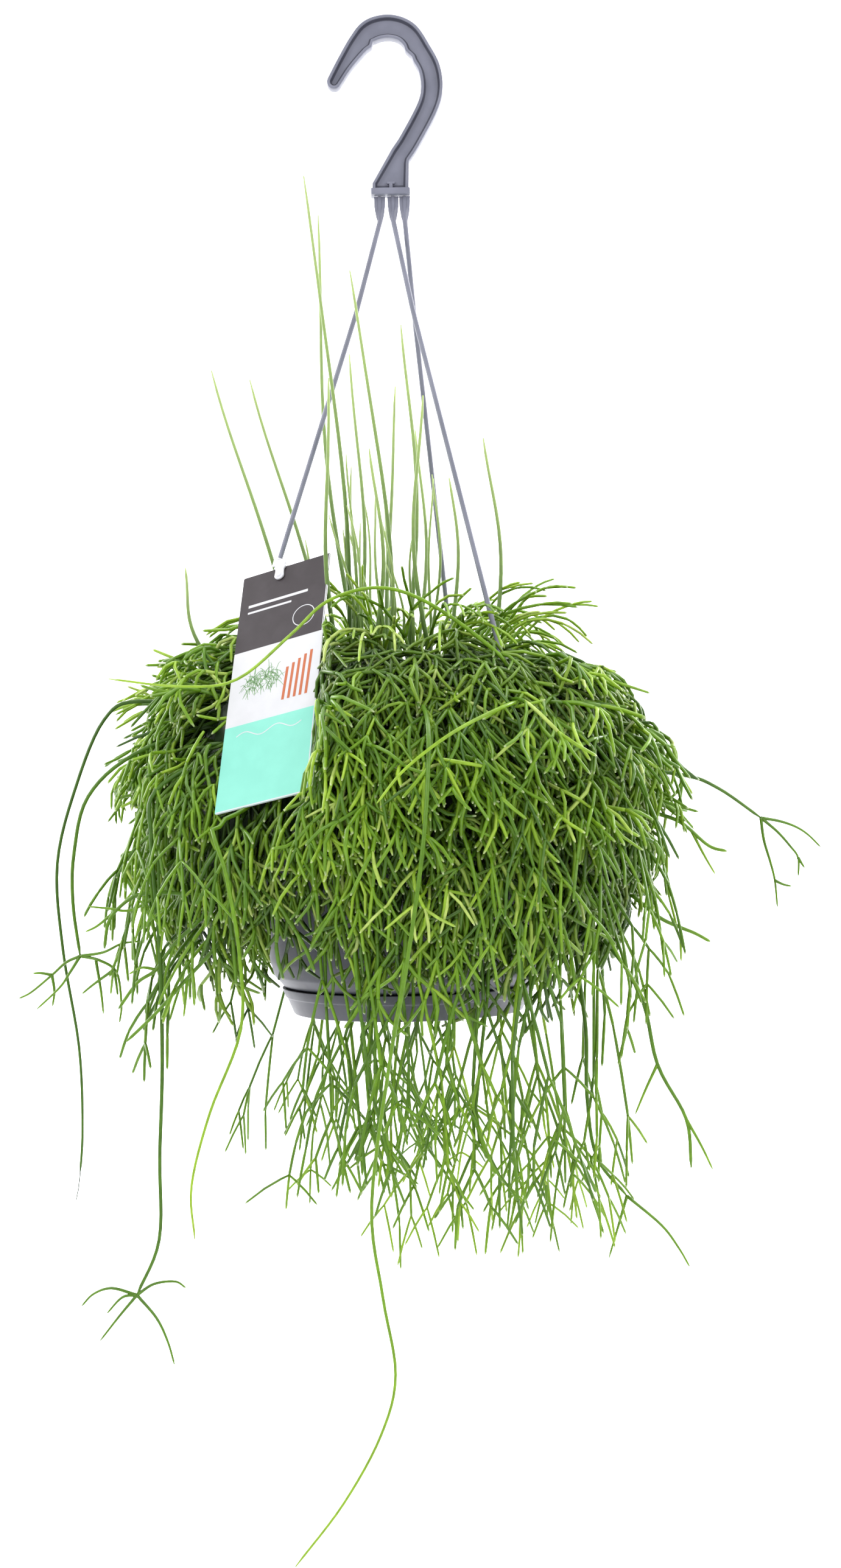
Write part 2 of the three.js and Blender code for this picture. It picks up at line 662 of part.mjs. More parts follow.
function chain(b, k) {
  const random = draws(9000 + 100 * b + k);
  const { count, from, to, low } = CHAINS[b];
  const azimuth = from + ((to - from) * (k + 0.3 + 0.4 * random())) / count;
  const root = headPoint(0.93, 1.28, azimuth);
  const point = headPoint(0.99, 0.3 + 0.4 * random(), azimuth);
  const bottom = low + 42 * random();
  const axis = [kept(root, b), kept(point, b)];
  const forks = [];
  let lean = random() < 0.5 ? -1 : 1;
  while (point.z > bottom) {
    const step = 27 + 10 * random();
    const out = point.clone().setZ(0).normalize();
    const around = new THREE.Vector3(-out.y, out.x, 0);
    const inward = Math.hypot(point.x, point.y) > 84 ? -0.12 : 0.05;
    const fork = point.clone();
    fork.z -= step * 0.78;
    fork.addScaledVector(around, -lean * step * 0.42);
    fork.addScaledVector(out, step * 0.25 * (random() - 0.35));
    if (axis.length > 2) forks.push({ at: axis.length - 1, to: kept(fork, b) });
    point.z -= step * 0.93;
    point.addScaledVector(around, lean * step * 0.27);
    point.addScaledVector(out, step * (inward + 0.22 * (random() - 0.5)));
    axis.push(kept(point, b));
    lean = -lean;
  }
  return { axis, forks };
}

// The long shoots that leave the head, each with its bunch, routes chosen by eye, and its forks
const SHOOTS = [
  {
    bunch: 5,
    axis: [[-88, 0, -335], [-132, -3, -329], [-149, -5, -338], [-163, -7, -370], [-173, -9, -409],
      [-171, -9, -452], [-164, -9, -500], [-163, -9, -540], [-167, -9, -577]],
  },
  {
    bunch: 0,
    axis: [[-90, -26, -340], [-131, -32, -356], [-153, -36, -376], [-160, -38, -403], [-161, -38, -427],
      [-158, -38, -453]],
    forks: [
      { at: 5, to: [-172, -36, -466] },
      { at: 5, to: [-142, -44, -476] },
    ],
  },
  {
    bunch: 0,
    axis: [[-88, -50, -356], [-117, -64, -374], [-119, -67, -397], [-116, -67, -449], [-116, -66, -503],
      [-118, -66, -546], [-119, -66, -585], [-130, -66, -611]],
    forks: [
      { at: 7, to: [-155, -60, -616] },
      { at: 7, to: [-147, -70, -631] },
      { at: 7, to: [-113, -66, -644] },
    ],
  },
  {
    bunch: 0,
    axis: [[-62, -78, -356], [-86, -106, -382], [-80, -111, -413], [-75, -112, -446], [-75, -110, -482],
      [-90, -107, -520], [-99, -106, -553], [-98, -106, -577]],
  },
  {
    bunch: 1,
    axis: [[8, -90, -332], [12, -136, -350], [9, -150, -397], [0, -148, -455], [-8, -141, -496],
      [-17, -134, -558], [-13, -130, -599], [-8, -129, -634], [-15, -128, -661], [-32, -127, -691],
      [-54, -126, -719]],
  },
  {
    bunch: 2,
    axis: [[96, -16, -366], [137, -17, -371], [155, -16, -378], [176, -14, -393]],
    forks: [
      { at: 3, to: [206, -9, -408] },
      { at: 3, to: [183, -16, -437] },
    ],
  },
  {
    bunch: 1,
    arch: true,
    axis: [[54, -70, -346], [51, -82, -322], [38, -82, -307], [12, -78, -288], [-10, -76, -281],
      [-33, -80, -287], [-50, -90, -303], [-74, -106, -324], [-99, -112, -327], [-134, -92, -322]],
  },
  {
    bunch: 1,
    axis: [[53, -77, -338], [49, -120, -338], [24, -140, -350], [2, -146, -366], [-11, -147, -381]],
  },
  {
    bunch: 2,
    axis: [[80, -50, -452], [84, -60, -490], [84, -60, -522], [88, -60, -551], [102, -60, -570]],
    forks: [
      { at: 4, to: [93, -60, -599] },
      { at: 4, to: [131, -60, -604] },
    ],
  },
  {
    bunch: 2,
    axis: [[81, -50, -432], [108, -66, -470], [117, -66, -507], [130, -66, -533], [132, -66, -556]],
    forks: [
      { at: 2, to: [106, -68, -530] },
      { at: 3, to: [142, -66, -557] },
    ],
  },
];

// Young upright whips: bunch, foot (x, y), tip (x, y, z) and how far each bows sideways
const WHIPS = [
  [0, -26, -14, -44, -24, -74, 6],
  [5, -22, 8, -39, 12, -84, -5],
  [1, -5, -24, -22, -34, -123, 6],
  [0, -36, -16, -86, -38, -172, 10],
  [5, -38, 10, -72, 20, -168, -8],
  [5, -90, 6, -109, 5, -262, -5],
  [1, 4, -34, 4, -44, -152, 4],
  [4, -6, 30, 0, 42, -166, -3],
  [1, 14, -38, 12, -60, -189, -5],
  [4, 7, 42, 10, 60, -186, 4],
  [2, 46, -24, 43, -30, -205, 4],
  [0, -30, -30, -32, -50, -178, -4],
  [5, -24, 24, -24, 36, -150, 5],
  [1, -13, -46, -12, -62, -214, 4],
  [4, 2, 52, -8, 74, -222, -4],
  [2, 24, -12, 26, -15, -222, 3],
];

function whipAxis([, footX, footY, tipX, tipY, tipZ, bow]) {
  const foot = new THREE.Vector3(footX, footY, -328);
  const tip = new THREE.Vector3(tipX, tipY, tipZ);
  return [0, 0.25, 0.5, 0.75, 1].map((t) => {
    const point = foot.clone().lerp(tip, t);
    point.x += bow * Math.sin(Math.PI * t);
    return point;
  });
}

// What a bunch stays clear of: the pot's flange, the strands, the tag and its clip, the arching shoot
const ARCH = SHOOTS.find((shoot) => shoot.arch).axis.map((point) => new THREE.Vector3(...point));

function distanceToLine(point, line) {
  let nearest = Infinity;
  for (let i = 0; i + 1 < line.length; i++) {
    const span = new THREE.Line3(line[i], line[i + 1]);
    const closest = span.closestPointToPoint(point, true, new THREE.Vector3());
    nearest = Math.min(nearest, closest.distanceTo(point));
  }
  return nearest;
}

function isBlocked(point, b) {
  const local = point.clone().applyMatrix4(tagInverse);
  const besideTag =
    Math.abs(local.x) < TAG_SIZE.width / 2 + 2 && Math.abs(local.y) < TAG_SIZE.height / 2 + 6;
  if (besideTag && local.z > 0.3 - TAG_ROOM && local.z < 4) return true;
  const fromFlange = new THREE.Vector2(
    Math.max(Math.hypot(point.x, point.y) - POT_RIM_RADIUS, 0),
    Math.max(point.z - POT_RIM_Z, POT_RIM_Z - FLANGE - point.z, 0),
  );
  if (fromFlange.length() < STEM_RADIUS + 0.5) return true;
  const nearStrand = STRANDS.some((strand) => {
    const { bow, low, end } = strandLine(strand);
    return distanceToLine(point, [bow, low, end]) < STRAND_RADIUS + STEM_RADIUS + 0.6;
  });
  if (nearStrand) return true;
  return b !== 1 && distanceToLine(point, ARCH) < 2 * STEM_RADIUS + 0.8;
}

function isClearLine(from, to, b) {
  const steps = 12;
  for (let s = 0; s <= steps; s++) {
    if (isBlocked(from.clone().lerp(to, s / steps), b)) return false;
  }
  return true;
}

// A stem cut back to what is clear: forks that are blocked go, and a blocked axis drops the stem
function clearStem({ axis, forks }, b) {
  for (let i = 0; i + 1 < axis.length; i++) {
    if (!isClearLine(axis[i], axis[i + 1], b)) return null;
  }
  return { axis, forks: forks.filter(({ at, to }) => isClearLine(axis[at], to, b)) };
}

// The heart of a bunch: a wedge of the head's inner form, over the rim and down to the soil
function makeHeart(b) {
  const outline = [...HEART, ...HEART_UNDERSIDE];
  const position = [];
  const low = BUNCH_EDGES[b];
  const high = BUNCH_EDGES[b + 1];
  for (let s = 0; s <= HEART_STEPS; s++) {
    const azimuth = low + ((high - low) * s) / HEART_STEPS;
    const furrow = s % 2 === 0 ? 0 : FURROW;
    outline.forEach(([radius, z], row) => {
      const drawnIn = row < HEART.length ? (furrow * radius) / HEART_FULL_RADIUS : 0;
      const outer = flattened(radius, azimuth) - drawnIn;
      position.push(...keptInWedge(polar(azimuth, outer, z - drawnIn / 2), b));
    });
  }
  const count = outline.length;
  const index = [];
  for (let s = 0; s < HEART_STEPS; s++) {
    for (let i = 0; i < count; i++) {
      const a = s * count + i;
      const c = s * count + ((i + 1) % count);
      index.push(a, c, c + count, a, c + count, a + count);
    }
  }
  const flat = outline.map(([radius, z]) => new THREE.Vector2(radius, z));
  const last = HEART_STEPS * count;
  THREE.ShapeUtils.triangulateShape(flat, []).forEach(([a, c, d]) => {
    index.push(a, c, d, last + a, last + d, last + c);
  });
  const geometry = new THREE.BufferGeometry();
  geometry.setAttribute("position", new THREE.Float32BufferAttribute(position, 3));
  geometry.setIndex(index);
  const room = new THREE.BoxGeometry(TAG_SIZE.width + 6, TAG_SIZE.height + 6, 60);
  return solid(geometry).subtract(inTagFrame(room.translate(0, 0, 30 - TAG_ROOM - 1)));
}

function makeBunch(b) {
  const rootTop = polar(bunchMiddle(b), ROOT_RING_RADIUS, SOIL_Z + 6);
  const root = bar(rootTop, rootTop.clone().setZ(SOIL_Z - ROOT_DEPTH), ROOT_RADIUS, ROOT_SIDES);
  const pieces = [makeHeart(b), root];
  const addStem = (stem, radius = STEM_RADIUS, tipRadius = TIP_RADIUS) => {
    const clear = clearStem(stem, b);
    if (clear) pieces.push(forkedStem(clear, radius, tipRadius));
  };
  for (let k = 0; k < SPRAYS; k++) addStem(spray(b, k));
  for (let k = 0; k < CHAINS[b].count; k++) addStem(chain(b, k), 0.9 * STEM_RADIUS);
  const placed = ({ arch }, point) => {
    const made = new THREE.Vector3(...point);
    return arch ? made : kept(made, b);
  };
  SHOOTS.filter(({ bunch }) => bunch === b).forEach((shoot) => {
    const forks = (shoot.forks ?? []).map(({ at, to }) => ({ at, to: placed(shoot, to) }));
    addStem({ axis: shoot.axis.map((point) => placed(shoot, point)), forks });
  });
  WHIPS.filter(([bunch]) => bunch === b).forEach((whip) => {
    addStem({ axis: whipAxis(whip), forks: [] }, 1.2, 0.75);
  });
  return mainBody(join(pieces));
}

addPart("hook", makeHook(), PLASTIC);
STRANDS.forEach((strand) => addPart(strand.name, makeStrand(strand), PLASTIC));
addPart("pot", makePot(), DARK_PLASTIC);
addPart("saucer", makeSaucer(), DARK_PLASTIC);
addPart("soil", makeSoil(), PEAT);
addPart("tag", makeTag(), CARD);
addPart("tag_clip", makeClip(), WHITE_PLASTIC);
for (let b = 0; b + 1 < BUNCH_EDGES.length; b++) addPart(`bunch_${b + 1}`, makeBunch(b), STEM);

export default object;
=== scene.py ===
import json
import math

import bmesh
import bpy
import numpy as np
from mathutils import Euler, Matrix, Vector

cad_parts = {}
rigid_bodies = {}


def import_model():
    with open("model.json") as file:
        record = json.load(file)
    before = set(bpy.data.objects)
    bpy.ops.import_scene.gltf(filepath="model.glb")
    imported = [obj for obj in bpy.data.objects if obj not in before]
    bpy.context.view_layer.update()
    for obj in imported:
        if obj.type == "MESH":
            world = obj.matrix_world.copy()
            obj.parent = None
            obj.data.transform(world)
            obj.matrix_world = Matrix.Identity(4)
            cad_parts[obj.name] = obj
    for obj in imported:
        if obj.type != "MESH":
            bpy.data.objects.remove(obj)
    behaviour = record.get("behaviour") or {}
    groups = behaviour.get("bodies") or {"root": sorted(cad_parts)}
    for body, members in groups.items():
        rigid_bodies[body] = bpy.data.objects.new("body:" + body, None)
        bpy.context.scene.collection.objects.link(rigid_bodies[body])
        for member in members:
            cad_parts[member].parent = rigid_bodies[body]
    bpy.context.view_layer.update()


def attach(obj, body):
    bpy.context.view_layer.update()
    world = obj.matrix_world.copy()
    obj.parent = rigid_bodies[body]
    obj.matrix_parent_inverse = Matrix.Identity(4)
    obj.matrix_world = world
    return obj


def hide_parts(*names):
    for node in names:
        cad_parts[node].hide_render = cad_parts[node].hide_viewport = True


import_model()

MM = 0.001
SEED = 41

# Driving dimensions of the made parts, as in the part's source
CLEARANCE = 0.3
HOOK_THICKNESS = 7
HOOK_RIM = 1.6
HOOK_WEB = 2.2
HOOK_FOOT_Z = -78.2
STRAND_RADIUS = 1.3
STRAND_NECK_Z = -91
STRAND_SEAT_RADIUS = 88.9
STRAND_HOLE_RADIUS = 1.7
BARB_BELOW = 4.5
BARB_RADIUS = 2.5
BARB_HEIGHT = 4
POT_RIM_Z = -350
POT_RIM_RADIUS = 92
POT_TOP_RADIUS = 86
POT_WALL = 1.8
FLANGE = 2.2
POT_SHOULDER_RADIUS = 68.6
POT_SHOULDER_Z = -460
POT_FLOOR_Z = -476
POT_FLOOR = 1.6
DRAIN_COUNT = 4
DRAIN_RING = 34
DRAIN_RADIUS = 3
FOOT_Z = -486
FOOT_RADIUS = 57.2
SAUCER_LIP_Z = -473
SOIL_Z = -361
ROOT_RADIUS = 8
ROOT_RING_RADIUS = 46
ROOT_DEPTH = 12
TAG_WIDTH = 50
TAG_HEIGHT = 139
TAG_THICKNESS = 0.7
TAG_CENTRE = (-60.5, -53.9, -322.4)
TAG_TURN = (54.8, -27.7, -4.6)
TAG_HOLE_X = -3.3
TAG_HOLE_BELOW = 5
TAG_HOLE_Y = TAG_HEIGHT / 2 - TAG_HOLE_BELOW
TAG_HOLE_RADIUS = 1.6
TAG_BANDS = (22.5, -21.5)
CLIP_RING_TOP = -259.6
CLIP_RING_BOTTOM = -264.4
STRANDS = [
    {"name": "strand_left", "azimuth": 190, "foot": -6.7, "fan": 4.8},
    {"name": "strand_front", "azimuth": 308, "foot": 0, "fan": 4.8},
    {"name": "strand_back", "azimuth": 70, "foot": 5.8, "fan": 4.6},
]

# Driving dimensions of the plant: the compass angles between its bunches, and the radius and height
# of its head and of its heart, row by row from crown to hem
BUNCH_EDGES = [190, 249, 308, 369, 429.4, 489, 550]
HEAD = np.array(
    [(5, -281), (40, -284), (84, -296), (116, -313), (136, -339)]
    + [(146, -370), (146, -402), (139, -436), (125, -470), (110, -502)],
    float,
)
HEART = np.array(
    [(12, -314), (42, -313), (74, -318), (95, -330), (105, -350)]
    + [(108, -376), (108, -402), (106, -426), (101, -448), (92, -470)],
    float,
)
HEAD_ROWS = 8
HEAD_DEPTH = 38
PROFILE_LENGTH = 287
# The side where the head is flatter, by what share of its radius and beyond what radius
FLAT_SIDE = 235
FLAT_SHARE = 0.45
FLAT_FROM_RADIUS = 98
# How far stems stay behind the tag, how steeply they rise beside it, and how clear they stay of the rest
TAG_ROOM = 2.7
TAG_SLOPE = (1.6, 1.2)
STRAND_ROOM = 2.6
RIM_ROOM = 1.5
WALL_ROOM = 3
FOOT_ROOM = 8
REACH_LIMIT = 157
STEM_RADIUS = 1.0
# Tufts in each bunch, and the share of their joints, generation by generation, that are followed by
# none, one, two or three
TUFTS = 225
TUFT_FORKS = ((0, 1, 0, 0), (0, 0.15, 0.6, 0.25), (0.02, 0.2, 0.56, 0.22), (0.05, 0.22, 0.53, 0.2))
# How much of its way outward a tuft makes in each generation, and how it arches over as it grows
TUFT_REACH = (0.3, 0.27, 0.24, 0.19)
TUFT_ARCH = (0.1, 0.06, 0.0, -0.14)
TUFT_JOINT = (15, 25.5)
TUFT_LEVELS = (0.02, 0.88)
# Steps that spread points evenly over a surface
EVEN_STEPS = (0.7548776662, 0.5698402910)
# The share of tufts whose tips fly out of the head, and how far
FLYAWAYS = 0.12
FLYAWAY_REACH = (0.25, 0.65)

# The photograph: its focal length and height in pixels, and the camera's sensor, place and roll
PHOTO_FOCAL_PIXELS = 3604
PHOTO_HEIGHT_PIXELS = 2576
SENSOR = 36
CAMERA_PLACE = (8.1, -1099, -373)
CAMERA_ROLL = 1.115


def polar(azimuth, radius, z):
    angle = math.radians(azimuth)
    return Vector((radius * math.cos(angle), radius * math.sin(angle), z))


# Materials


def new_material(name, color, roughness):
    material = bpy.data.materials.new(name)
    material.use_nodes = True
    shader = material.node_tree.nodes["Principled BSDF"]
    shader.inputs["Base Color"].default_value = (*color, 1)
    shader.inputs["Roughness"].default_value = roughness
    return material, shader


def add_node(material, kind, **values):
    node = material.node_tree.nodes.new(kind)
    for name, value in values.items():
        if name in node.inputs:
            node.inputs[name].default_value = value
        else:
            setattr(node, name, value)
    return node


def noise(material, scale, detail=3):
    place = add_node(material, "ShaderNodeTexCoord")
    texture = add_node(material, "ShaderNodeTexNoise", Scale=scale, Detail=detail)
    material.node_tree.links.new(place.outputs["Object"], texture.inputs["Vector"])
    return texture.outputs["Fac"]


def ramp(material, factor, stops):
    node = add_node(material, "ShaderNodeValToRGB")
    elements = node.color_ramp.elements
    while len(elements) < len(stops):
        elements.new(0.5)
    for element, (position, color) in zip(elements, stops):
        element.position = position
        element.color = (*color, 1)
    material.node_tree.links.new(factor, node.inputs["Fac"])
    return node.outputs["Color"]


def mixed(material, factor, first, second, blend="MIX"):
    """A mix of two colours; each of the three may be a socket or a constant."""
    node = add_node(material, "ShaderNodeMix", data_type="RGBA", blend_type=blend)
    links = material.node_tree.links
    inputs = [node.inputs[0], node.inputs[6], node.inputs[7]]
    for socket, value in zip(inputs, (factor, first, second)):
        if isinstance(value, bpy.types.NodeSocket):
            links.new(value, socket)
        elif isinstance(value, tuple):
            socket.default_value = (*value, 1)
        else:
            socket.default_value = value
    return node.outputs[2]


def bumped(material, shader, height, strength, distance):
    node = add_node(material, "ShaderNodeBump", Strength=strength, Distance=distance)
    links = material.node_tree.links
    links.new(height, node.inputs["Height"])
    links.new(node.outputs["Normal"], shader.inputs["Normal"])


def moulded_plastic(name, dark, light, roughness, grain):
    """Moulded plastic: a slight cloud of colour, uneven gloss and a fine moulded grain."""
    material, shader = new_material(name, light, roughness)
    links = material.node_tree.links
    cloud = noise(material, 55)
    links.new(ramp(material, cloud, [(0.35, dark), (0.68, light)]), shader.inputs["Base Color"])
    limits = {"To Min": roughness - 0.06, "To Max": roughness + 0.08}
    gloss = add_node(material, "ShaderNodeMapRange", **limits)
    links.new(noise(material, 140), gloss.inputs["Value"])
    links.new(gloss.outputs["Result"], shader.inputs["Roughness"])
    bumped(material, shader, noise(material, 1500, 2), grain, 0.0002)
    return material


def stem_skin():
    """Waxy green skin: each joint has its own tone and tips are pale dots; a light mark paints shade on
    joints deep in the head.
    """
    material, shader = new_material("stem_skin", (0.1, 0.25, 0.02), 0.36)
    links = material.node_tree.links
    marks = add_node(material, "ShaderNodeAttribute", attribute_name="marks")
    split = add_node(material, "ShaderNodeSeparateColor")
    links.new(marks.outputs["Color"], split.inputs["Color"])
    tone, pale, light = split.outputs["Red"], split.outputs["Green"], split.outputs["Blue"]
    greens = [(0.0, (0.035, 0.092, 0.012)), (0.35, (0.088, 0.2, 0.008)), (0.6, (0.155, 0.305, 0.01))]
    greens += [(0.85, (0.31, 0.49, 0.03)), (1.0, (0.45, 0.57, 0.14))]
    green = ramp(material, tone, greens)
    patches = ramp(material, noise(material, 260), [(0.3, (0.76, 0.78, 0.7)), (0.7, (1.1, 1.1, 1.05))])
    skin = mixed(material, 1.0, green, patches, "MULTIPLY")
    # Painted shade: the light mark blends the skin towards a near-black green on joints deep in the head
    # and on the core; withered tips carry a zero mark for their own dark colour
    shaded = mixed(material, light, (0.006, 0.022, 0.003), skin)
    links.new(mixed(material, pale, shaded, (0.6, 0.66, 0.38)), shader.inputs["Base Color"])
    shader.inputs["Specular IOR Level"].default_value = 0.4
    bumped(material, shader, noise(material, 900, 2), 0.12, 0.0002)
    return material


def soil_crumbs():
    material, shader = new_material("soil_crumbs", (0.04, 0.025, 0.015), 0.95)
    links = material.node_tree.links
    grain = noise(material, 420, 6)
    stops = [(0.3, (0.012, 0.008, 0.005)), (0.55, (0.05, 0.032, 0.02)), (0.75, (0.12, 0.08, 0.05))]
    links.new(ramp(material, grain, stops), shader.inputs["Base Color"])
    bumped(material, shader, grain, 0.9, 0.002)
    return material


def printed_card(name, color):
    """Printed plastic card: even ink under a thin gloss, with faint wear."""
    material, shader = new_material(name, color, 0.3)
    worn = tuple(min(1.0, c * 1.05 + 0.012) for c in color)
    ink = ramp(material, noise(material, 90, 5), [(0.42, color), (0.8, worn)])
    material.node_tree.links.new(ink, shader.inputs["Base Color"])
    shader.inputs["Coat Weight"].default_value = 0.25
    shader.inputs["Coat Roughness"].default_value = 0.18
    bumped(material, shader, noise(material, 60, 1), 0.05, 0.0004)
    return material


HANGER = moulded_plastic("hanger_plastic", (0.16, 0.165, 0.21), (0.21, 0.215, 0.27), 0.42, 0.1)
# Painted shade: a darker plastic for the hook's recess walls, where shade falls
RECESS_PAINTED_SHADE = moulded_plastic("hanger_recess_painted_shade", (0.05, 0.052, 0.075), (0.075, 0.078, 0.105), 0.5, 0.1)
POT = moulded_plastic("pot_plastic", (0.045, 0.047, 0.06), (0.07, 0.073, 0.092), 0.4, 0.14)
CLIP = moulded_plastic("clip_plastic", (0.6, 0.6, 0.64), (0.72, 0.71, 0.75), 0.35, 0.05)
STEM = stem_skin()
SOIL = soil_crumbs()
INK = printed_card("card_dark_ink", (0.043, 0.034, 0.037))
WHITE = printed_card("card_white", (0.65, 0.65, 0.67))
TURQUOISE = printed_card("card_turquoise", (0.235, 0.67, 0.54))
SPRIG = printed_card("card_green_ink", (0.2, 0.36, 0.16))
WARM = printed_card("card_warm_ink", (0.5, 0.13, 0.045))


# Objects and meshes


def linked(name, data):
    """A new object in the scene."""
    item = bpy.data.objects.new(name, data)
    bpy.context.scene.collection.objects.link(item)
    return item


def new_mesh(name, vertices, faces, *materials):
    """A mesh from points in metres."""
    mesh = bpy.data.meshes.new(name)
    mesh.from_pydata(vertices, [], faces)
    for material in materials:
        mesh.materials.append(material)
    return mesh


def add_piece(mesh):
    """A piece of the visual model, named as its mesh, that rides on the one body."""
    piece = linked(mesh.name, mesh)
    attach(piece, "root")
    return piece


def new_piece(name, vertices, faces, materials, face_materials=None, sharp=35):
    """A piece from points in millimetres, smooth but for edges of more than sharp degrees."""
    mesh = new_mesh(name, [Vector(v) * MM for v in vertices], faces, *materials)
    if face_materials is not None:
        mesh.polygons.foreach_set("material_index", face_materials)
    mesh.shade_smooth()
    mesh.set_sharp_from_angle(angle=math.radians(sharp))
    return add_piece(mesh)


def bridged(loops, closed=False, flip=False):
    """Faces between loops of equal length, given as lists of indices."""
    faces = []
    pairs = list(zip(loops, loops[1:]))
    if closed:
        pairs.append((loops[-1], loops[0]))
    for first, second in pairs:
        count = len(first)
        for i in range(count):
            j = (i + 1) % count
            face = (first[i], first[j], second[j], second[i])
            faces.append(face[::-1] if flip else face)
    return faces


def ringed(rings):
    """The points of rings in one list, and for each ring the list of its indices."""
    vertices, loops = [], []
    for ring in rings:
        loops.append(list(range(len(vertices), len(vertices) + len(ring))))
        vertices.extend(ring)
    return vertices, loops


def lathe(outline, sides):
    """Points and faces of an outline of (radius, height) turned about Z; ends on the axis close it."""
    angles = [360 * s / sides for s in range(sides)]
    rings = [[polar(a, radius, z) for a in angles] if radius else [(0, 0, z)] for radius, z in outline]
    vertices, loops = ringed(rings)
    faces = []
    for first, second in zip(loops, loops[1:]):
        for i in range(sides):
            j = (i + 1) % sides
            face = [loop[k % len(loop)] for loop, k in ((first, i), (first, j), (second, j), (second, i))]
            faces.append(list(dict.fromkeys(face)))
    return vertices, faces


def rounded(outline, radius, steps=4):
    """An open outline whose inner corners are rounded by a small arc of up to that radius."""
    points = [Vector(p) for p in outline]
    made = [points[0]]
    for before, corner, after in zip(points, points[1:], points[2:]):
        reach = min(radius, (corner - before).length * 0.45, (after - corner).length * 0.45)
        start = corner + (before - corner).normalized() * reach
        end = corner + (after - corner).normalized() * reach
        for s in range(steps + 1):
            t = s / steps
            made.append(start * (1 - t) ** 2 + corner * 2 * t * (1 - t) + end * t * t)
    made.append(points[-1])
    return [tuple(p) for p in made]


def swept(path, sections, across=(0.31, 0.74, 0.59)):
    """Points and faces of closed sections carried along a path; a section is a list of (across, third)."""
    across = Vector(across)
    rings = []
    for i, (point, section) in enumerate(zip(path, sections)):
        along = (path[min(i + 1, len(path) - 1)] - path[max(i - 1, 0)]).normalized()
        across = (across - along * across.dot(along)).normalized()
        third = along.cross(across)
        rings.append([point + across * u + third * v for u, v in section])
    vertices, loops = ringed(rings)
    return vertices, bridged(loops) + [loops[0][::-1], loops[-1]]


def circle(radius, sides):
    return [
        (radius * math.cos(2 * math.pi * s / sides), radius * math.sin(2 * math.pi * s / sides))
        for s in range(sides)
    ]


def joined(*parts):
    """One list of points and one of faces from several pairs of them."""
    vertices = []
    faces = []
    for part_vertices, part_faces in parts:
        start = len(vertices)
        vertices.extend(part_vertices)
        faces.extend([tuple(i + start for i in face) for face in part_faces])
    return vertices, faces


def outward(piece):
    """Turns a piece's faces outward."""
    work = bmesh.new()
    work.from_mesh(piece.data)
    bmesh.ops.recalc_face_normals(work, faces=work.faces)
    work.to_mesh(piece.data)
    work.free()
    return piece


# The hook

# The hook's middle line from tip to neck, as (x, z, half width)
HOOK_LINE = [(-28.3, -21.3, 3.6), (-22.7, -12.1, 4.2), (-15.3, -2.0, 5.4), (-9.1, 4.2, 5.8)]
HOOK_LINE += [(0.2, 5.9, 5.85), (8.8, 2.5, 5.7), (15.1, -6.9, 5.6), (19.4, -15.4, 5.5)]
HOOK_LINE += [(20.5, -25.2, 5.5), (18.0, -35.0, 5.3), (9.2, -51.0, 5.25), (4.2, -58.4, 5.25)]
HOOK_STEPS = 132
TIP_STEPS = 12
# Where along the hook its inner edge swells or dips a little, and by how much
HOOK_WAVES = [(0.2, 0.6), (0.232, -0.5), (0.512, 0.6), (0.545, -0.5)]


def spline(points, t):
    """Point and tangent of a smooth curve through points, t from 0 to 1."""
    place = min(max(t, 0), 1) * (len(points) - 1)
    row = min(int(place), len(points) - 2)
    local = place - row
    p1, p2 = Vector(points[row]), Vector(points[row + 1])
    p0 = Vector(points[row - 1]) if row > 0 else p1 * 2 - p2
    p3 = Vector(points[row + 2]) if row + 2 < len(points) else p2 * 2 - p1
    slope = p2 - p0
    bend = 2 * p0 - 5 * p1 + 4 * p2 - p3
    twist = 3 * p1 - p0 - 3 * p2 + p3
    point = 0.5 * (2 * p1 + slope * local + bend * local**2 + twist * local**3)
    tangent = 0.5 * (slope + 2 * bend * local + 3 * twist * local**2)
    return point, tangent.normalized()


def hook_outline(inset):
    """The hook's outline in the XZ plane, drawn in by inset: outer edge, foot, inner edge, tip."""
    line = [(x, z) for x, z, _ in HOOK_LINE]
    halves = [(half, 0) for _, _, half in HOOK_LINE]
    outer, inner = [], []
    for i in range(HOOK_STEPS + 1):
        t = i / HOOK_STEPS
        point, along = spline(line, t)
        half = spline(halves, t)[0].x - inset
        normal = Vector((-along.y, along.x))
        wave = sum(rise * math.exp(-(((t - place) / 0.013) ** 2)) for place, rise in HOOK_WAVES)
        outer.append(tuple(point + normal * half))
        inner.append(tuple(point - normal * (half + wave)))
    (tip_x, tip_z, tip_half) = HOOK_LINE[0]
    start = spline(line, 0)[1]
    facing = math.atan2(-start.y, -start.x)
    tip = []
    radius = tip_half - inset
    for i in range(1, TIP_STEPS):
        angle = facing + math.pi / 2 - math.pi * i / TIP_STEPS
        tip.append((tip_x + radius * math.cos(angle), tip_z + radius * math.sin(angle)))
    low = HOOK_FOOT_Z + 1 + 1.5 * inset
    foot = [(8.4 - inset, -62.4), (7.9 - inset, low), (-10.2 + inset, low), (-10.2 + inset, -72.6)]
    return outer + foot + inner[::-1] + tip


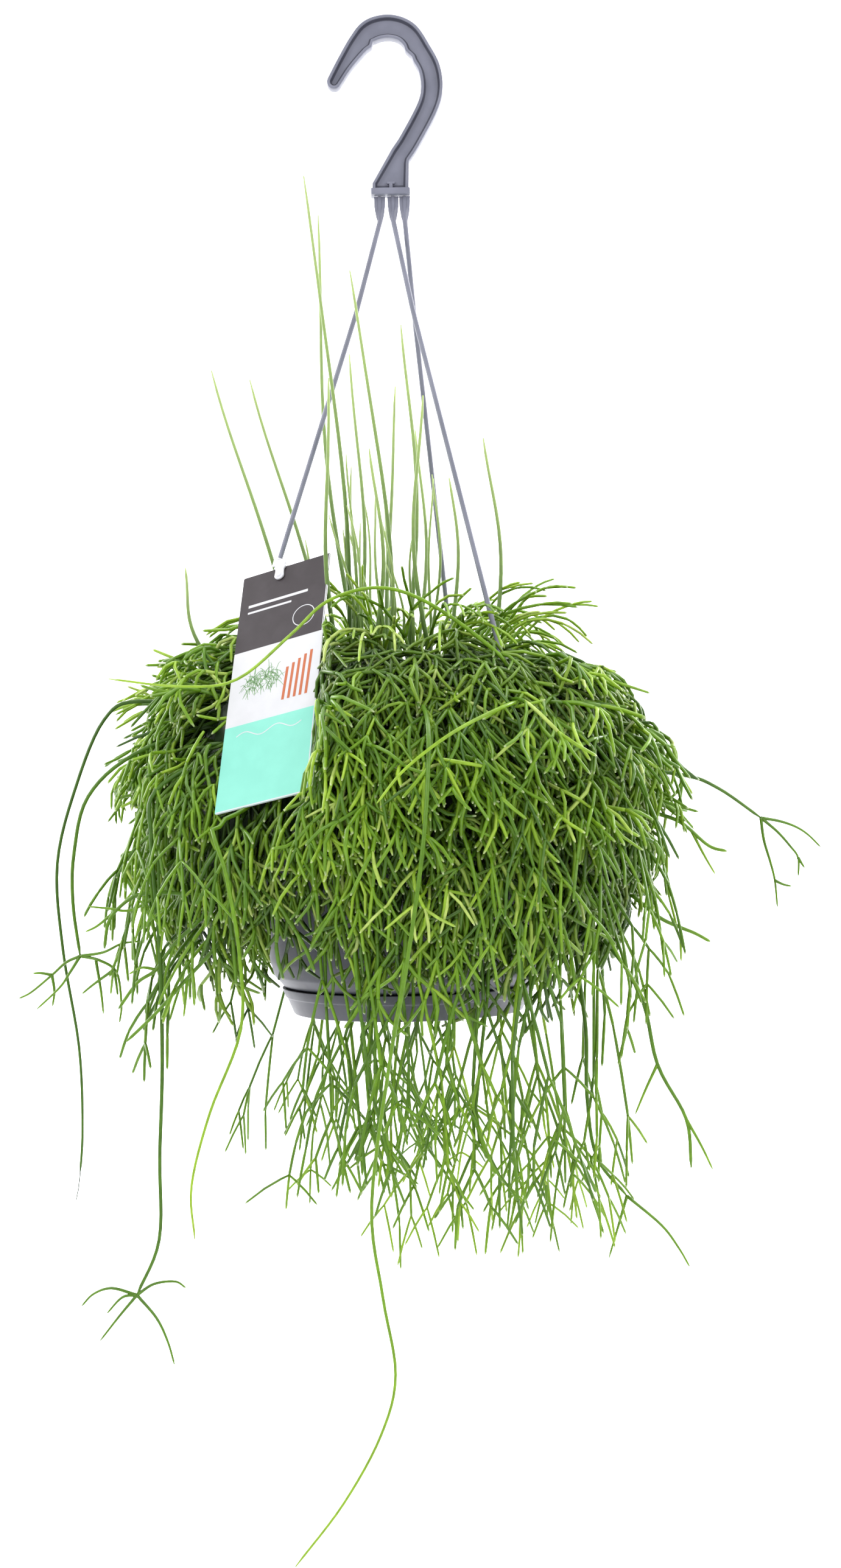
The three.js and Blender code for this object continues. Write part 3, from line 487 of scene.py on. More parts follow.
def make_hook():
    half = HOOK_THICKNESS / 2
    web = HOOK_WEB / 2
    edge = 0.55
    profile = [(0, half - edge), (0.1, half - 0.3), (0.3, half - 0.08), (edge, half)]
    profile += [(HOOK_RIM - 0.5, half), (HOOK_RIM - 0.2, half - 0.15), (HOOK_RIM, half - 0.45)]
    profile += [(HOOK_RIM + 0.45, web + 0.5), (HOOK_RIM + 0.65, web + 0.1), (HOOK_RIM + 1, web)]
    vertices = []
    faces = []
    sides = []
    for side in (1, -1):
        loops = []
        for inset, y in profile:
            outline = hook_outline(inset)
            loops.append(list(range(len(vertices), len(vertices) + len(outline))))
            vertices.extend((x, -side * y, z) for x, z in outline)
        faces.extend(bridged(loops, flip=side < 0))
        floor = loops[-1]
        count = HOOK_STEPS + 1
        outer = floor[:count]
        foot = floor[count : count + 4]
        inner = floor[count + 4 : 2 * count + 4][::-1]
        tip = floor[2 * count + 4 :]
        for i in range(count - 1):
            faces.append((outer[i], outer[i + 1], inner[i + 1], inner[i]))
        faces.append((outer[-1], *foot, inner[-1]))
        faces.append((inner[0], *tip, outer[0]))
        sides.append(loops[0])
    faces.extend(bridged([sides[1], sides[0]]))
    return vertices, faces


def taken_from(work):
    """Points and faces of a bmesh, which is freed."""
    work.verts.index_update()
    vertices = [tuple(v.co) for v in work.verts]
    faces = [tuple(v.index for v in f.verts) for f in work.faces]
    work.free()
    return vertices, faces


def box(low, high):
    """Points and faces of a plain box with its corners cut, from its lowest to its highest corner."""
    work = bmesh.new()
    bmesh.ops.create_cube(work, size=1)
    bmesh.ops.scale(work, vec=Vector(high) - Vector(low), verts=work.verts)
    bmesh.ops.translate(work, vec=(Vector(low) + Vector(high)) / 2, verts=work.verts)
    bmesh.ops.bevel(work, geom=work.edges, offset=0.3, segments=2, profile=0.5, affect="EDGES")
    return taken_from(work)


def build_hook():
    flange_half = HOOK_THICKNESS / 2 + 0.8
    flange = box((-10.9, -flange_half, HOOK_FOOT_Z), (8.6, flange_half, HOOK_FOOT_Z + 3.2))
    stalk = box((-1.7, -2.8, HOOK_FOOT_Z + 2.6), (0, 2.8, HOOK_FOOT_Z + 6))
    bar = box((-2.8, -2.6, HOOK_FOOT_Z + 5.4), (1.1, 2.6, HOOK_FOOT_Z + 6.6))
    body = make_hook()
    vertices, faces = joined(body, flange, stalk, bar)
    # Painted shade: the steep wall between rim and web gets a darker plastic, as shade in the recess
    web, rim = HOOK_WEB / 2, HOOK_THICKNESS / 2 - 0.5
    heights = [abs(sum(vertices[i][1] for i in face) / len(face)) for face in faces]
    shaded_walls = [int(web + 0.02 < height < rim and i < len(body[1])) for i, height in enumerate(heights)]
    piece = outward(new_piece("hook_moulding", vertices, faces, [HANGER, RECESS_PAINTED_SHADE], shaded_walls))
    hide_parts("hook")


# The strands: a ribbed fan under the foot, a round cord and a barb under the rim


def strand_points(strand):
    foot = strand["foot"]
    top = Vector((foot, 0, HOOK_FOOT_Z - CLEARANCE))
    neck = Vector((foot, 0, STRAND_NECK_Z))
    seat = polar(strand["azimuth"], STRAND_SEAT_RADIUS, POT_RIM_Z)
    bow = neck.lerp(seat, 0.18)
    bow.x -= 0.02 * (seat.x - neck.x)
    bow.y -= 0.02 * (seat.y - neck.y)
    low = Vector((seat.x, seat.y, POT_RIM_Z + 4))
    end = Vector((seat.x, seat.y, POT_RIM_Z - FLANGE - BARB_BELOW))
    return top, neck, bow, low, end


def fan_section(share, half):
    """A flat section with a rib down its middle that turns into a round cord as share goes from 0 to 1."""
    edge = [(half, 0.25), (half * 0.35, 0.35), (0.75, 0.8)]
    edge += [(-u, v) for u, v in edge[::-1]]
    flat = edge + [(-u, -v) for u, v in edge]
    cord = circle(STRAND_RADIUS, len(flat))
    turned = cord[1:] + cord[:1]
    blend = share * share * (3 - 2 * share)
    pairs = zip(flat, turned)
    return [(a + (c - a) * blend, b + (d - b) * blend) for (a, b), (c, d) in pairs]


def shifted(points, by):
    return [Vector(point) + by for point in points]


def build_strand(strand):
    top, neck, bow, low, end = strand_points(strand)
    path = [top.lerp(neck, t) for t in (0, 0.2, 0.4, 0.6, 0.8, 0.95)]
    path += [neck, neck.lerp(bow, 0.5), bow]
    path += [bow.lerp(low, t) for t in (0.1, 0.2, 0.35, 0.5, 0.65, 0.8, 0.95)]
    path += [low, low.lerp(end, 0.5), end]
    half = strand["fan"] / 2 + 0.4
    cord = swept(path, [fan_section(min(i / 6, 1) ** 1.5, half) for i in range(len(path))], (1, 0, 0))
    barb_top = end.z + BARB_BELOW - CLEARANCE
    barb_end = barb_top - BARB_HEIGHT
    outline = [(0, barb_top), (BARB_RADIUS - 0.2, barb_top), (BARB_RADIUS, barb_top - 0.4), (1, barb_end)]
    barb, barb_faces = lathe(outline + [(0, barb_end)], 16)
    vertices, faces = joined(cord, (shifted(barb, Vector((end.x, end.y, 0))), barb_faces))
    piece = outward(new_piece(strand["name"] + "_cord", vertices, faces, [HANGER]))
    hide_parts(strand["name"])


# The pot, its saucer and the soil

ROUND_SIDES = 96


def inner_radius(z):
    share = (POT_RIM_Z - z) / (POT_RIM_Z - POT_SHOULDER_Z)
    return POT_TOP_RADIUS + (POT_SHOULDER_RADIUS - POT_TOP_RADIUS) * share - POT_WALL


def build_pot():
    outside = [
        (0, POT_FLOOR_Z),
        (FOOT_RADIUS - 3.6, POT_FLOOR_Z),
        (FOOT_RADIUS - 3, FOOT_Z + 1.7),
        (FOOT_RADIUS - 0.6, FOOT_Z + 1.7),
        (FOOT_RADIUS, FOOT_Z + 4.4),
        (FOOT_RADIUS - 1, FOOT_Z + 6.6),
        (FOOT_RADIUS - 0.8, POT_FLOOR_Z + POT_FLOOR),
        (62, -472.2),
        (66.6, -467),
        (POT_SHOULDER_RADIUS, POT_SHOULDER_Z),
        (POT_TOP_RADIUS - 0.3, POT_RIM_Z - FLANGE),
        (POT_RIM_RADIUS, POT_RIM_Z - FLANGE),
        (POT_RIM_RADIUS, POT_RIM_Z),
        (inner_radius(POT_RIM_Z), POT_RIM_Z),
        (inner_radius(POT_SHOULDER_Z), POT_SHOULDER_Z),
        (64.6, -466),
        (60.6, -470.6),
        (55.4, POT_FLOOR_Z + POT_FLOOR),
        (0, POT_FLOOR_Z + POT_FLOOR),
    ]
    vertices, faces = lathe(rounded(outside, 0.8, 3), ROUND_SIDES)
    piece = outward(new_piece("pot_shell", vertices, faces, [POT]))
    holes = []
    for strand in STRANDS:
        top = polar(strand["azimuth"], STRAND_SEAT_RADIUS, POT_RIM_Z + 2)
        holes.append(swept([top, top - Vector((0, 0, FLANGE + 4))], [circle(STRAND_HOLE_RADIUS, 16)] * 2))
    for i in range(DRAIN_COUNT):
        top = polar(360 * (i + 0.5) / DRAIN_COUNT, DRAIN_RING, POT_FLOOR_Z + 4)
        holes.append(swept([top, top - Vector((0, 0, 8))], [circle(DRAIN_RADIUS, 16)] * 2))
    pierce(piece, holes)
    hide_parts("pot")


def pierce(piece, holes):
    """Takes closed forms out of a piece."""
    vertices, faces = joined(*holes)
    cutter = outward(linked("holes", new_mesh("holes", [Vector(v) * MM for v in vertices], faces)))
    change = piece.modifiers.new("pierced", "BOOLEAN")
    change.object = cutter
    change.solver = "EXACT"
    evaluated = piece.evaluated_get(bpy.context.evaluated_depsgraph_get())
    piece.data = bpy.data.meshes.new_from_object(evaluated)
    piece.modifiers.clear()
    bpy.data.objects.remove(cutter)


def build_saucer():
    outline = [
        (0, FOOT_Z),
        (FOOT_RADIUS - 4, FOOT_Z),
        (FOOT_RADIUS, FOOT_Z),
        (60.6, FOOT_Z + 8.2),
        (61.4, FOOT_Z + 8.6),
        (63, SAUCER_LIP_Z),
        (61.2, SAUCER_LIP_Z),
        (59, FOOT_Z + 7.4),
        (FOOT_RADIUS - 0.5, FOOT_Z + 6.1),
        (FOOT_RADIUS + 0.4, FOOT_Z + 4.4),
        (FOOT_RADIUS + 0.1, FOOT_Z + 1.4),
        (0, FOOT_Z + 1.4),
    ]
    vertices, faces = lathe(rounded(outline, 0.6, 3), ROUND_SIDES)
    piece = outward(new_piece("saucer_dish", vertices, faces, [POT]))
    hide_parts("saucer")


def build_soil():
    rng = np.random.default_rng(SEED)
    rings = 26
    top_radius = inner_radius(SOIL_Z) - CLEARANCE
    outline = [(0, POT_FLOOR_Z + 1.9), (55, POT_FLOOR_Z + 1.9), (60.1, -470.2), (64.1, -465.6)]
    outline += [(inner_radius(POT_SHOULDER_Z) - CLEARANCE, POT_SHOULDER_Z), (top_radius, SOIL_Z - 1)]
    # The point on the axis and five full rings lie below the crumbs
    first_crumb = 1 + ROUND_SIDES * (len(outline) - 1)
    outline += [(top_radius * (rings - r) / rings, SOIL_Z) for r in range(1, rings)] + [(0, SOIL_Z)]
    vertices, faces = lathe(outline, ROUND_SIDES)
    for i in range(first_crumb, len(vertices)):
        x, y, z = vertices[i]
        vertices[i] = (x, y, z + rng.uniform(-0.9, 0.9))
    piece = outward(new_piece("soil_fill", vertices, faces, [SOIL], sharp=80))
    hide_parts("soil")


# The tag and its clip, in the tag's own frame: X across, Y up the card, Z out of its printed face

TAG_FRAME = Matrix.Translation(TAG_CENTRE)
for turn_axis, turn_angle in zip("XYZ", TAG_TURN):
    TAG_FRAME = TAG_FRAME @ Matrix.Rotation(math.radians(turn_angle), 4, turn_axis)
TAG_MATRIX = np.array(TAG_FRAME)
TAG_INVERSE = np.array(TAG_FRAME.inverted())


def raise_faces(work, faces, rise):
    """Extrudes faces of a bmesh along Z."""
    extruded = bmesh.ops.extrude_face_region(work, geom=faces)
    moved = [part for part in extruded["geom"] if isinstance(part, bmesh.types.BMVert)]
    bmesh.ops.translate(work, vec=(0, 0, rise), verts=moved)


def build_tag():
    work = bmesh.new()
    half_w, half_h, half_t = TAG_WIDTH / 2, TAG_HEIGHT / 2, TAG_THICKNESS / 2
    corner = 0.8
    outline = []
    for sx, sy, start in ((1, 1, 0), (-1, 1, 90), (-1, -1, 180), (1, -1, 270)):
        for s in range(5):
            angle = math.radians(start + 90 * s / 4)
            x = sx * (half_w - corner) + corner * math.cos(angle)
            outline.append((x, sy * (half_h - corner) + corner * math.sin(angle)))
    hole = [(TAG_HOLE_X + u, TAG_HOLE_Y + v) for u, v in circle(TAG_HOLE_RADIUS, 20)]
    for points in (outline, hole):
        made = [work.verts.new((x, y, half_t)) for x, y in points]
        for i, vert in enumerate(made):
            work.edges.new((vert, made[(i + 1) % len(made)]))
    bmesh.ops.triangle_fill(work, edges=work.edges[:], use_beauty=True)
    for y in TAG_BANDS:
        geometry = work.verts[:] + work.edges[:] + work.faces[:]
        bmesh.ops.bisect_plane(work, geom=geometry, plane_co=(0, y, 0), plane_no=(0, 1, 0))
    for face in work.faces:
        middle = face.calc_center_median()
        face.material_index = 0 if middle.y > TAG_BANDS[0] else 1 if middle.y > TAG_BANDS[1] else 2
    raise_faces(work, work.faces[:], -TAG_THICKNESS)
    bmesh.ops.recalc_face_normals(work, faces=work.faces)
    for face in work.faces:
        if face.normal.z < 0.5:
            face.material_index = 1
    bmesh.ops.transform(work, matrix=Matrix.Scale(MM, 4) @ TAG_FRAME, verts=work.verts)
    mesh = bpy.data.meshes.new("care_tag")
    work.to_mesh(mesh)
    work.free()
    for material in (INK, WHITE, TURQUOISE):
        mesh.materials.append(material)
    piece = add_piece(mesh)
    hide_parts("tag")
    print_design()


PRINT_HEIGHT = TAG_THICKNESS / 2 + 0.03
SPRIG_STROKES = 110


def stroke(points, widths):
    """A flat printed stroke along points, a little proud of the card."""
    vertices = []
    for i, (x, y) in enumerate(points):
        before = points[max(i - 1, 0)]
        after = points[min(i + 1, len(points) - 1)]
        along = Vector((after[0] - before[0], after[1] - before[1])).normalized()
        side = Vector((-along.y, along.x)) * widths[i] / 2
        for sign in (1, -1):
            vertices.append(TAG_FRAME @ Vector((x + sign * side.x, y + sign * side.y, PRINT_HEIGHT)))
    faces = [(2 * i + 1, 2 * i + 3, 2 * i + 2, 2 * i) for i in range(len(points) - 1)]
    return vertices, faces


def even_stroke(points, width):
    return stroke(points, [width] * len(points))


def print_design():
    """A plain design of the builder's own: a sprig on the white band and thin lines on the others, and a
    painted highlight of white strokes along the card's right and bottom edges.
    """
    rng = np.random.default_rng(SEED + 7)
    sprig = []
    for k in range(SPRIG_STROKES):
        angle = math.radians(rng.uniform(-155, -25) if k % 3 else rng.uniform(20, 160))
        start = Vector((rng.uniform(-16, 1), rng.uniform(-2, 7)))
        reach = rng.uniform(3, 8)
        end = start + Vector((math.cos(angle), math.sin(angle))) * reach
        middle = start.lerp(end, 0.5) + Vector((0, 1.2))
        sprig.append(stroke([tuple(start), tuple(middle), tuple(end)], [0.4, 0.35, 0.2]))
    stripes = [even_stroke([(6 + 3.2 * k, -13), (7 + 3.2 * k, 6 + 1.6 * k)], 1.5) for k in range(5)]
    lines = [even_stroke([(-20, 50 - 4 * k), (14 - 9 * k, 50 - 4 * k)], 1.6 - 0.4 * k) for k in range(2)]
    ring = [(13 + 6 * math.cos(a), 35 + 6 * math.sin(a)) for a in np.linspace(0, 2 * math.pi, 33)]
    lines.append(even_stroke(ring, 0.45))
    wave = [(-18 + 36 * s / 24, -28 + 1.8 * math.sin(s / 24 * 4 * math.pi)) for s in range(25)]
    lines.append(even_stroke(wave, 0.5))
    # Painted highlight: white strokes along the right and bottom edges of the printed face stand in for the
    # card's lit white edge
    right, low = TAG_WIDTH / 2 - 0.5, -TAG_HEIGHT / 2 + 0.5
    lines.append(even_stroke([(right, -low), (right, low)], 0.5))
    lines.append(even_stroke([(right, low), (-right, low)], 0.7))
    prints = (("card_sprig_print", sprig, SPRIG), ("card_stripe_print", stripes, WARM))
    for name, strokes, material in (*prints, ("card_line_print_and_edge_highlight", lines, WHITE)):
        vertices, faces = joined(*strokes)
        new_piece(name, vertices, faces, [material])


def on_hole(rows):
    """A round form on the axis of the tag's hole, from rows of (height, radius)."""
    path = [TAG_FRAME @ Vector((TAG_HOLE_X, TAG_HOLE_Y, height)) for height, _ in rows]
    return swept(path, [circle(radius, 14) for _, radius in rows])


def build_clip():
    half_h = TAG_HEIGHT / 2
    front = TAG_THICKNESS / 2 + CLEARANCE
    right = [(2.2, 4.4), (3.2, 3.6), (2.8, 2.6), (3.3, 1.6)]
    right += [(2.8, 0.6), (3.4, -0.4), (2.4, -1.7), (2.4, -3.2)]
    angles = [-math.pi * s / 12 for s in range(1, 12)]
    lobe = [(2.8 * math.cos(angle), -TAG_HOLE_BELOW + 2.8 * math.sin(angle)) for angle in angles]
    left = [(-x, y) for x, y in right[::-1]]
    work = bmesh.new()
    outline = [(TAG_HOLE_X + x, half_h + y, front) for x, y in right + lobe + left]
    face = work.faces.new([work.verts.new(point) for point in outline])
    raise_faces(work, [face], 1.0)
    bmesh.ops.bevel(work, geom=work.edges[:], offset=0.28, segments=2, profile=0.5, affect="EDGES")
    bmesh.ops.transform(work, matrix=TAG_FRAME, verts=work.verts)
    plate = taken_from(work)
    pin = on_hole([(front + 0.5, 1.1), (0, 1.1), (-front - 0.5, 1.1)])
    head = on_hole([(-front, 1.8), (-front - 0.15, 2.1), (-front - 0.55, 2.1), (-front - 0.7, 1.8)])
    boss = on_hole([(front + 0.9, 1.3), (front + 1.15, 1.2), (front + 1.3, 0.9)])
    bridge_low = (TAG_HOLE_X - 2.2, half_h + 0.8, front - 3.2)
    bridge_points, bridge_faces = box(bridge_low, (TAG_HOLE_X + 2.2, half_h + 3.6, front + 0.8))
    bridge = ([TAG_FRAME @ Vector(v) for v in bridge_points], bridge_faces)
    vertices, faces = joined(plate, pin, head, boss, bridge, clip_ring())
    piece = outward(new_piece("tag_clip_white", vertices, faces, [CLIP]))
    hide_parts("tag_clip")


def clip_ring():
    """The clip's sleeve round the left strand."""
    _, _, bow, low, _ = strand_points(STRANDS[0])
    top, bottom = (bow.lerp(low, (bow.z - z) / (bow.z - low.z)) for z in (CLIP_RING_TOP, CLIP_RING_BOTTOM))
    outer, inner = STRAND_RADIUS + CLEARANCE + 1, STRAND_RADIUS + CLEARANCE
    along = (top - bottom).normalized()
    across = along.cross(Vector((0, 1, 0))).normalized()
    third = along.cross(across)
    profile = [(inner, 0), (outer - 0.3, 0), (outer, 0.3), (outer, 4.5), (outer - 0.3, 4.8), (inner, 4.8)]
    rings = []
    for radius, height in profile:
        rings.append([bottom + along * height + across * u + third * v for u, v in circle(radius, 18)])
    vertices, loops = ringed(rings)
    return vertices, bridged(loops, closed=True)


# The plant: where its stems may go


def flattened(radius, azimuth):
    facing = np.maximum(np.cos(np.radians(azimuth - FLAT_SIDE)), 0)
    beyond = np.maximum(radius - FLAT_FROM_RADIUS, 0)
    return radius - FLAT_SHARE * facing * facing * beyond


def form_at(form, h, column):
    """The radius (column 0) or height (column 1) of the head or heart at shares h from crown to hem."""
    return np.interp(h * HEAD_ROWS, np.arange(len(form)), form[:, column])


def head_point(h, depth, azimuth):
    """Points at shares h of the way from crown to hem; depth 0 is the head's surface, 1 its heart."""
    surface_radius, surface_z = (form_at(HEAD, h, column) for column in (0, 1))
    heart_radius, heart_z = (form_at(HEART, h, column) for column in (0, 1))
    radius = flattened(surface_radius + (heart_radius - surface_radius) * depth, azimuth)
    angle = np.radians(azimuth)
    z = surface_z + (heart_z - surface_z) * depth
    return np.stack([radius * np.cos(angle), radius * np.sin(angle), z], axis=-1)


def placed(points, matrix):
    return points @ matrix[:3, :3].T + matrix[:3, 3]


def behind_tag(points):
    """Points bent back behind the tag, or behind the slope that rises from its edges."""
    local = placed(points, TAG_INVERSE)
    beside = np.maximum(np.abs(local[:, 0]) - TAG_WIDTH / 2, 0)
    beyond = np.maximum(np.abs(local[:, 1]) - TAG_HEIGHT / 2, 0)
    waves = np.sin(1.3 * local[:, 0] + 0.8 * local[:, 1]) * np.sin(1.1 * local[:, 1] - 0.7 * local[:, 0])
    slope = np.hypot(TAG_SLOPE[0] * beside, TAG_SLOPE[1] * beyond) * (0.75 + 0.25 * waves)
    local[:, 2] = np.minimum(local[:, 2], slope - TAG_ROOM)
    return placed(local, TAG_MATRIX)


STRAND_SPANS = []
for strand_row in STRANDS:
    _, _, span_bow, span_low, span_end = strand_points(strand_row)
    STRAND_SPANS += [(np.array(span_bow), np.array(span_low)), (np.array(span_low), np.array(span_end))]


def near_strand(points, reach):
    near = np.zeros(len(points), bool)
    for a, b in STRAND_SPANS:
        share = np.clip((points - a) @ (b - a) / ((b - a) @ (b - a)), 0, 1)
        nearest = a + share[:, None] * (b - a)
        near |= np.linalg.norm(points - nearest, axis=1) < reach
    return near


def unit(vectors):
    return vectors / np.maximum(np.linalg.norm(vectors, axis=-1, keepdims=True), 1e-9)


def blocked(start, control, end):
    """Whether a joint touches a strand, the tag or the pot, or reaches too far to the front or back."""
    hit = np.abs(end[:, 1]) > REACH_LIMIT
    for t in (0.25, 0.5, 0.75, 1.0):
        point = start * (1 - t) ** 2 + control * 2 * t * (1 - t) + end * t * t
        hit |= near_strand(point, STRAND_ROOM)
        local = placed(point, TAG_INVERSE)
        beside = (np.abs(local[:, 0]) < TAG_WIDTH / 2 + 1) & (np.abs(local[:, 1]) < TAG_HEIGHT / 2 + 4)
        hit |= beside & (local[:, 2] > -1.6) & (local[:, 2] < 5)
        girth, z = np.hypot(point[:, 0], point[:, 1]), point[:, 2]
        flange = (z > POT_RIM_Z - FLANGE - RIM_ROOM) & (z < POT_RIM_Z + RIM_ROOM)
        hit |= flange & (girth < POT_RIM_RADIUS + RIM_ROOM)
        beside_pot = (z > FOOT_Z - 2) & (z < POT_RIM_Z - FLANGE)
        wall = np.interp(z, (FOOT_Z, POT_RIM_Z), (FOOT_RADIUS + FOOT_ROOM, POT_TOP_RADIUS + WALL_ROOM))
        hit |= beside_pot & (girth < wall)
    return hit


def bell(azimuth, middle, width):
    return np.exp(-(((azimuth - middle) / width) ** 2))


# How much higher the hem is near some compass angles: rise, angle and width; it shows the pot in front
HEM_RISES = ((0.13, 242, 15), (0.06, 366, 32), (0.05, 204, 14), (-0.13, 303, 28))


def hem_level(azimuth):
    """How far down the tufts reach."""
    level = 1.02
    for rise, middle, width in HEM_RISES:
        level = level - rise * bell(azimuth, middle, width)
    return level


def tip_depth(h, azimuth):
    """How deep under the outer form most tips end: deeper at the crown, the hem and the right."""
    drawn_in = np.interp(h, (0.05, 0.2, 0.36, 0.7, 0.86, 1.0), (1.0, 0.75, 0.22, 0.22, 0.5, 0.55))
    front = bell(azimuth, 262, 42) * np.interp(h, (0.1, 0.2, 0.42, 0.62), (0.25, 0.5, 0.5, 0))
    sideways = np.cos(np.radians(azimuth - 10))
    drawn_sideways = np.where(sideways > 0, 0.46, 0.17) * sideways
    return drawn_in + front + drawn_sideways * np.interp(h, (0, 0.2, 0.7, 1.0), (0, 1, 1, 0.6))


def flare(h, azimuth):
    """How much the tufts of the lower left spread and thin out."""
    return np.clip((h - 0.45) / 0.3, 0, 1) * bell(azimuth, 197, 22)


def thinned(h, azimuth):
    """The share of tufts that is left out: at the lower left and at the far lower right."""
    right = np.clip((h - 0.55) / 0.2, 0, 1) * bell(azimuth, 368, 34)
    return 0.78 * flare(h, azimuth) + 0.6 * right


# The plant: how its stems grow, generation by generation


class Stems:
    """Columns of growing stems, one row each: where they are, where they head and what they pass on."""

    def __init__(self, **columns):
        self.__dict__.update(columns)

    def __len__(self):
        return len(self.point)

    def picked(self, rows):
        return Stems(**{key: column[rows] for key, column in vars(self).items()})

    def followed(self, forks):
        """The stems that follow at the forks, each with the row it follows and its place in its fork."""
        following = self.picked(np.repeat(np.arange(len(self)), forks))
        following.parent = np.repeat(np.arange(len(self)), forks)
        following.order = np.concatenate([np.arange(n) - (n - 1) / 2 for n in forks] + [np.zeros(0)])
        return following


class Joints:
    """Rows of bent joints. The last generation waits until it is known which of its joints carry others."""

    # light is each joint's painted light mark: low values paint it in shade
    KEYS = ("start", "control", "end", "radius", "tone", "light", "tip")

    def __init__(self):
        self.rows = {key: [] for key in self.KEYS}
        self.waiting = None

    def add(self, carriers, **columns):
        """Adds a generation that grows on the waiting one's joints at rows carriers."""
        self.finish(carriers)
        self.waiting = columns

    def finish(self, carriers=()):
        """Adds the waiting generation, with tips on all joints but the carriers."""
        if self.waiting is not None:
            tip = np.ones(len(self.waiting["radius"]))
            tip[np.asarray(carriers, int)] = 0
            for key, column in {**self.waiting, "tip": tip}.items():
                self.rows[key].append(column)
        self.waiting = None

    def column(self, key):
        return np.concatenate(self.rows[key])

    def __len__(self):
        return sum(len(part) for part in self.rows["start"])


def add_generation(joints, stems, control, end, radius, tone, light, within=True):
    """Adds a generation's joints that touch nothing, and gives the stems that go on from their ends."""
    keep = np.flatnonzero(~blocked(stems.point, control, end) & within)
    columns = {"start": stems.point, "control": control, "end": end, "radius": radius, "light": light}
    columns["tone"] = np.clip(tone, 0, 1)
    joints.add(stems.parent[keep], **{key: column[keep] for key, column in columns.items()})
    following = stems.picked(keep)
    following.point = end[keep]
    following.heading = unit(end[keep] - control[keep])
    return following


def fork_counts(rng, shares, count):
    """How many joints follow each of count joints: shares[n] is the share that carries n of them."""
    return rng.choice(len(shares), count, p=shares)


def tuft_roots(rng, bunch):
    """The stems of a bunch's tufts where they leave the heart, and how far out and down each may go."""
    low, high = BUNCH_EDGES[bunch], BUNCH_EDGES[bunch + 1]
    grid = np.linspace(*TUFT_LEVELS, 200)
    weight = form_at(HEAD, grid, 0) + 12
    weight *= np.interp(grid, (0.02, 0.2, 0.56, 0.82, 0.88), (0.5, 1, 1, 0.55, 0.45))
    share = (np.arange(TUFTS) * EVEN_STEPS[0] + rng.random()) % 1
    h = np.interp(share, np.cumsum(weight) / weight.sum(), grid)
    azimuth = low + (high - low) * ((np.arange(TUFTS) * EVEN_STEPS[1] + rng.random()) % 1)
    hem = hem_level(azimuth) + rng.normal(0, 0.055, TUFTS)
    chosen = (h < hem - 0.2) & (rng.random(TUFTS) > thinned(h + 0.2, azimuth))
    h, azimuth, hem = h[chosen], azimuth[chosen], hem[chosen]
    count = len(h)
    depth = rng.uniform(0.85, 1.2, count) + 0.3 * np.cos(np.radians(azimuth)) ** 2
    target = tip_depth(h + 0.22, azimuth) + rng.normal(0, 0.17, count)
    flyaway = rng.random(count) < FLYAWAYS
    target[flyaway] -= rng.uniform(*FLYAWAY_REACH, flyaway.sum())
    target += flare(h + 0.2, azimuth) * (0.35 - 0.6 * rng.random(count))
    point = head_point(h, depth, azimuth)
    return Stems(
        point=behind_tag(point),
        heading=unit(head_point(h + 0.03, depth - 0.6, azimuth) - point),
        h=h,
        depth=depth,
        azimuth=azimuth,
        hem=hem,
        target=target,
        arch=np.interp(h, (0.1, 0.35), (1.6, 0.8)) * rng.uniform(0.5, 1.5, count),
        thickness=STEM_RADIUS * rng.uniform(0.86, 1.08, count),
        tone=np.clip(rng.normal(0.42, 0.13, count), 0, 0.8),
        swing=rng.normal(0, 0.24, count),
    )


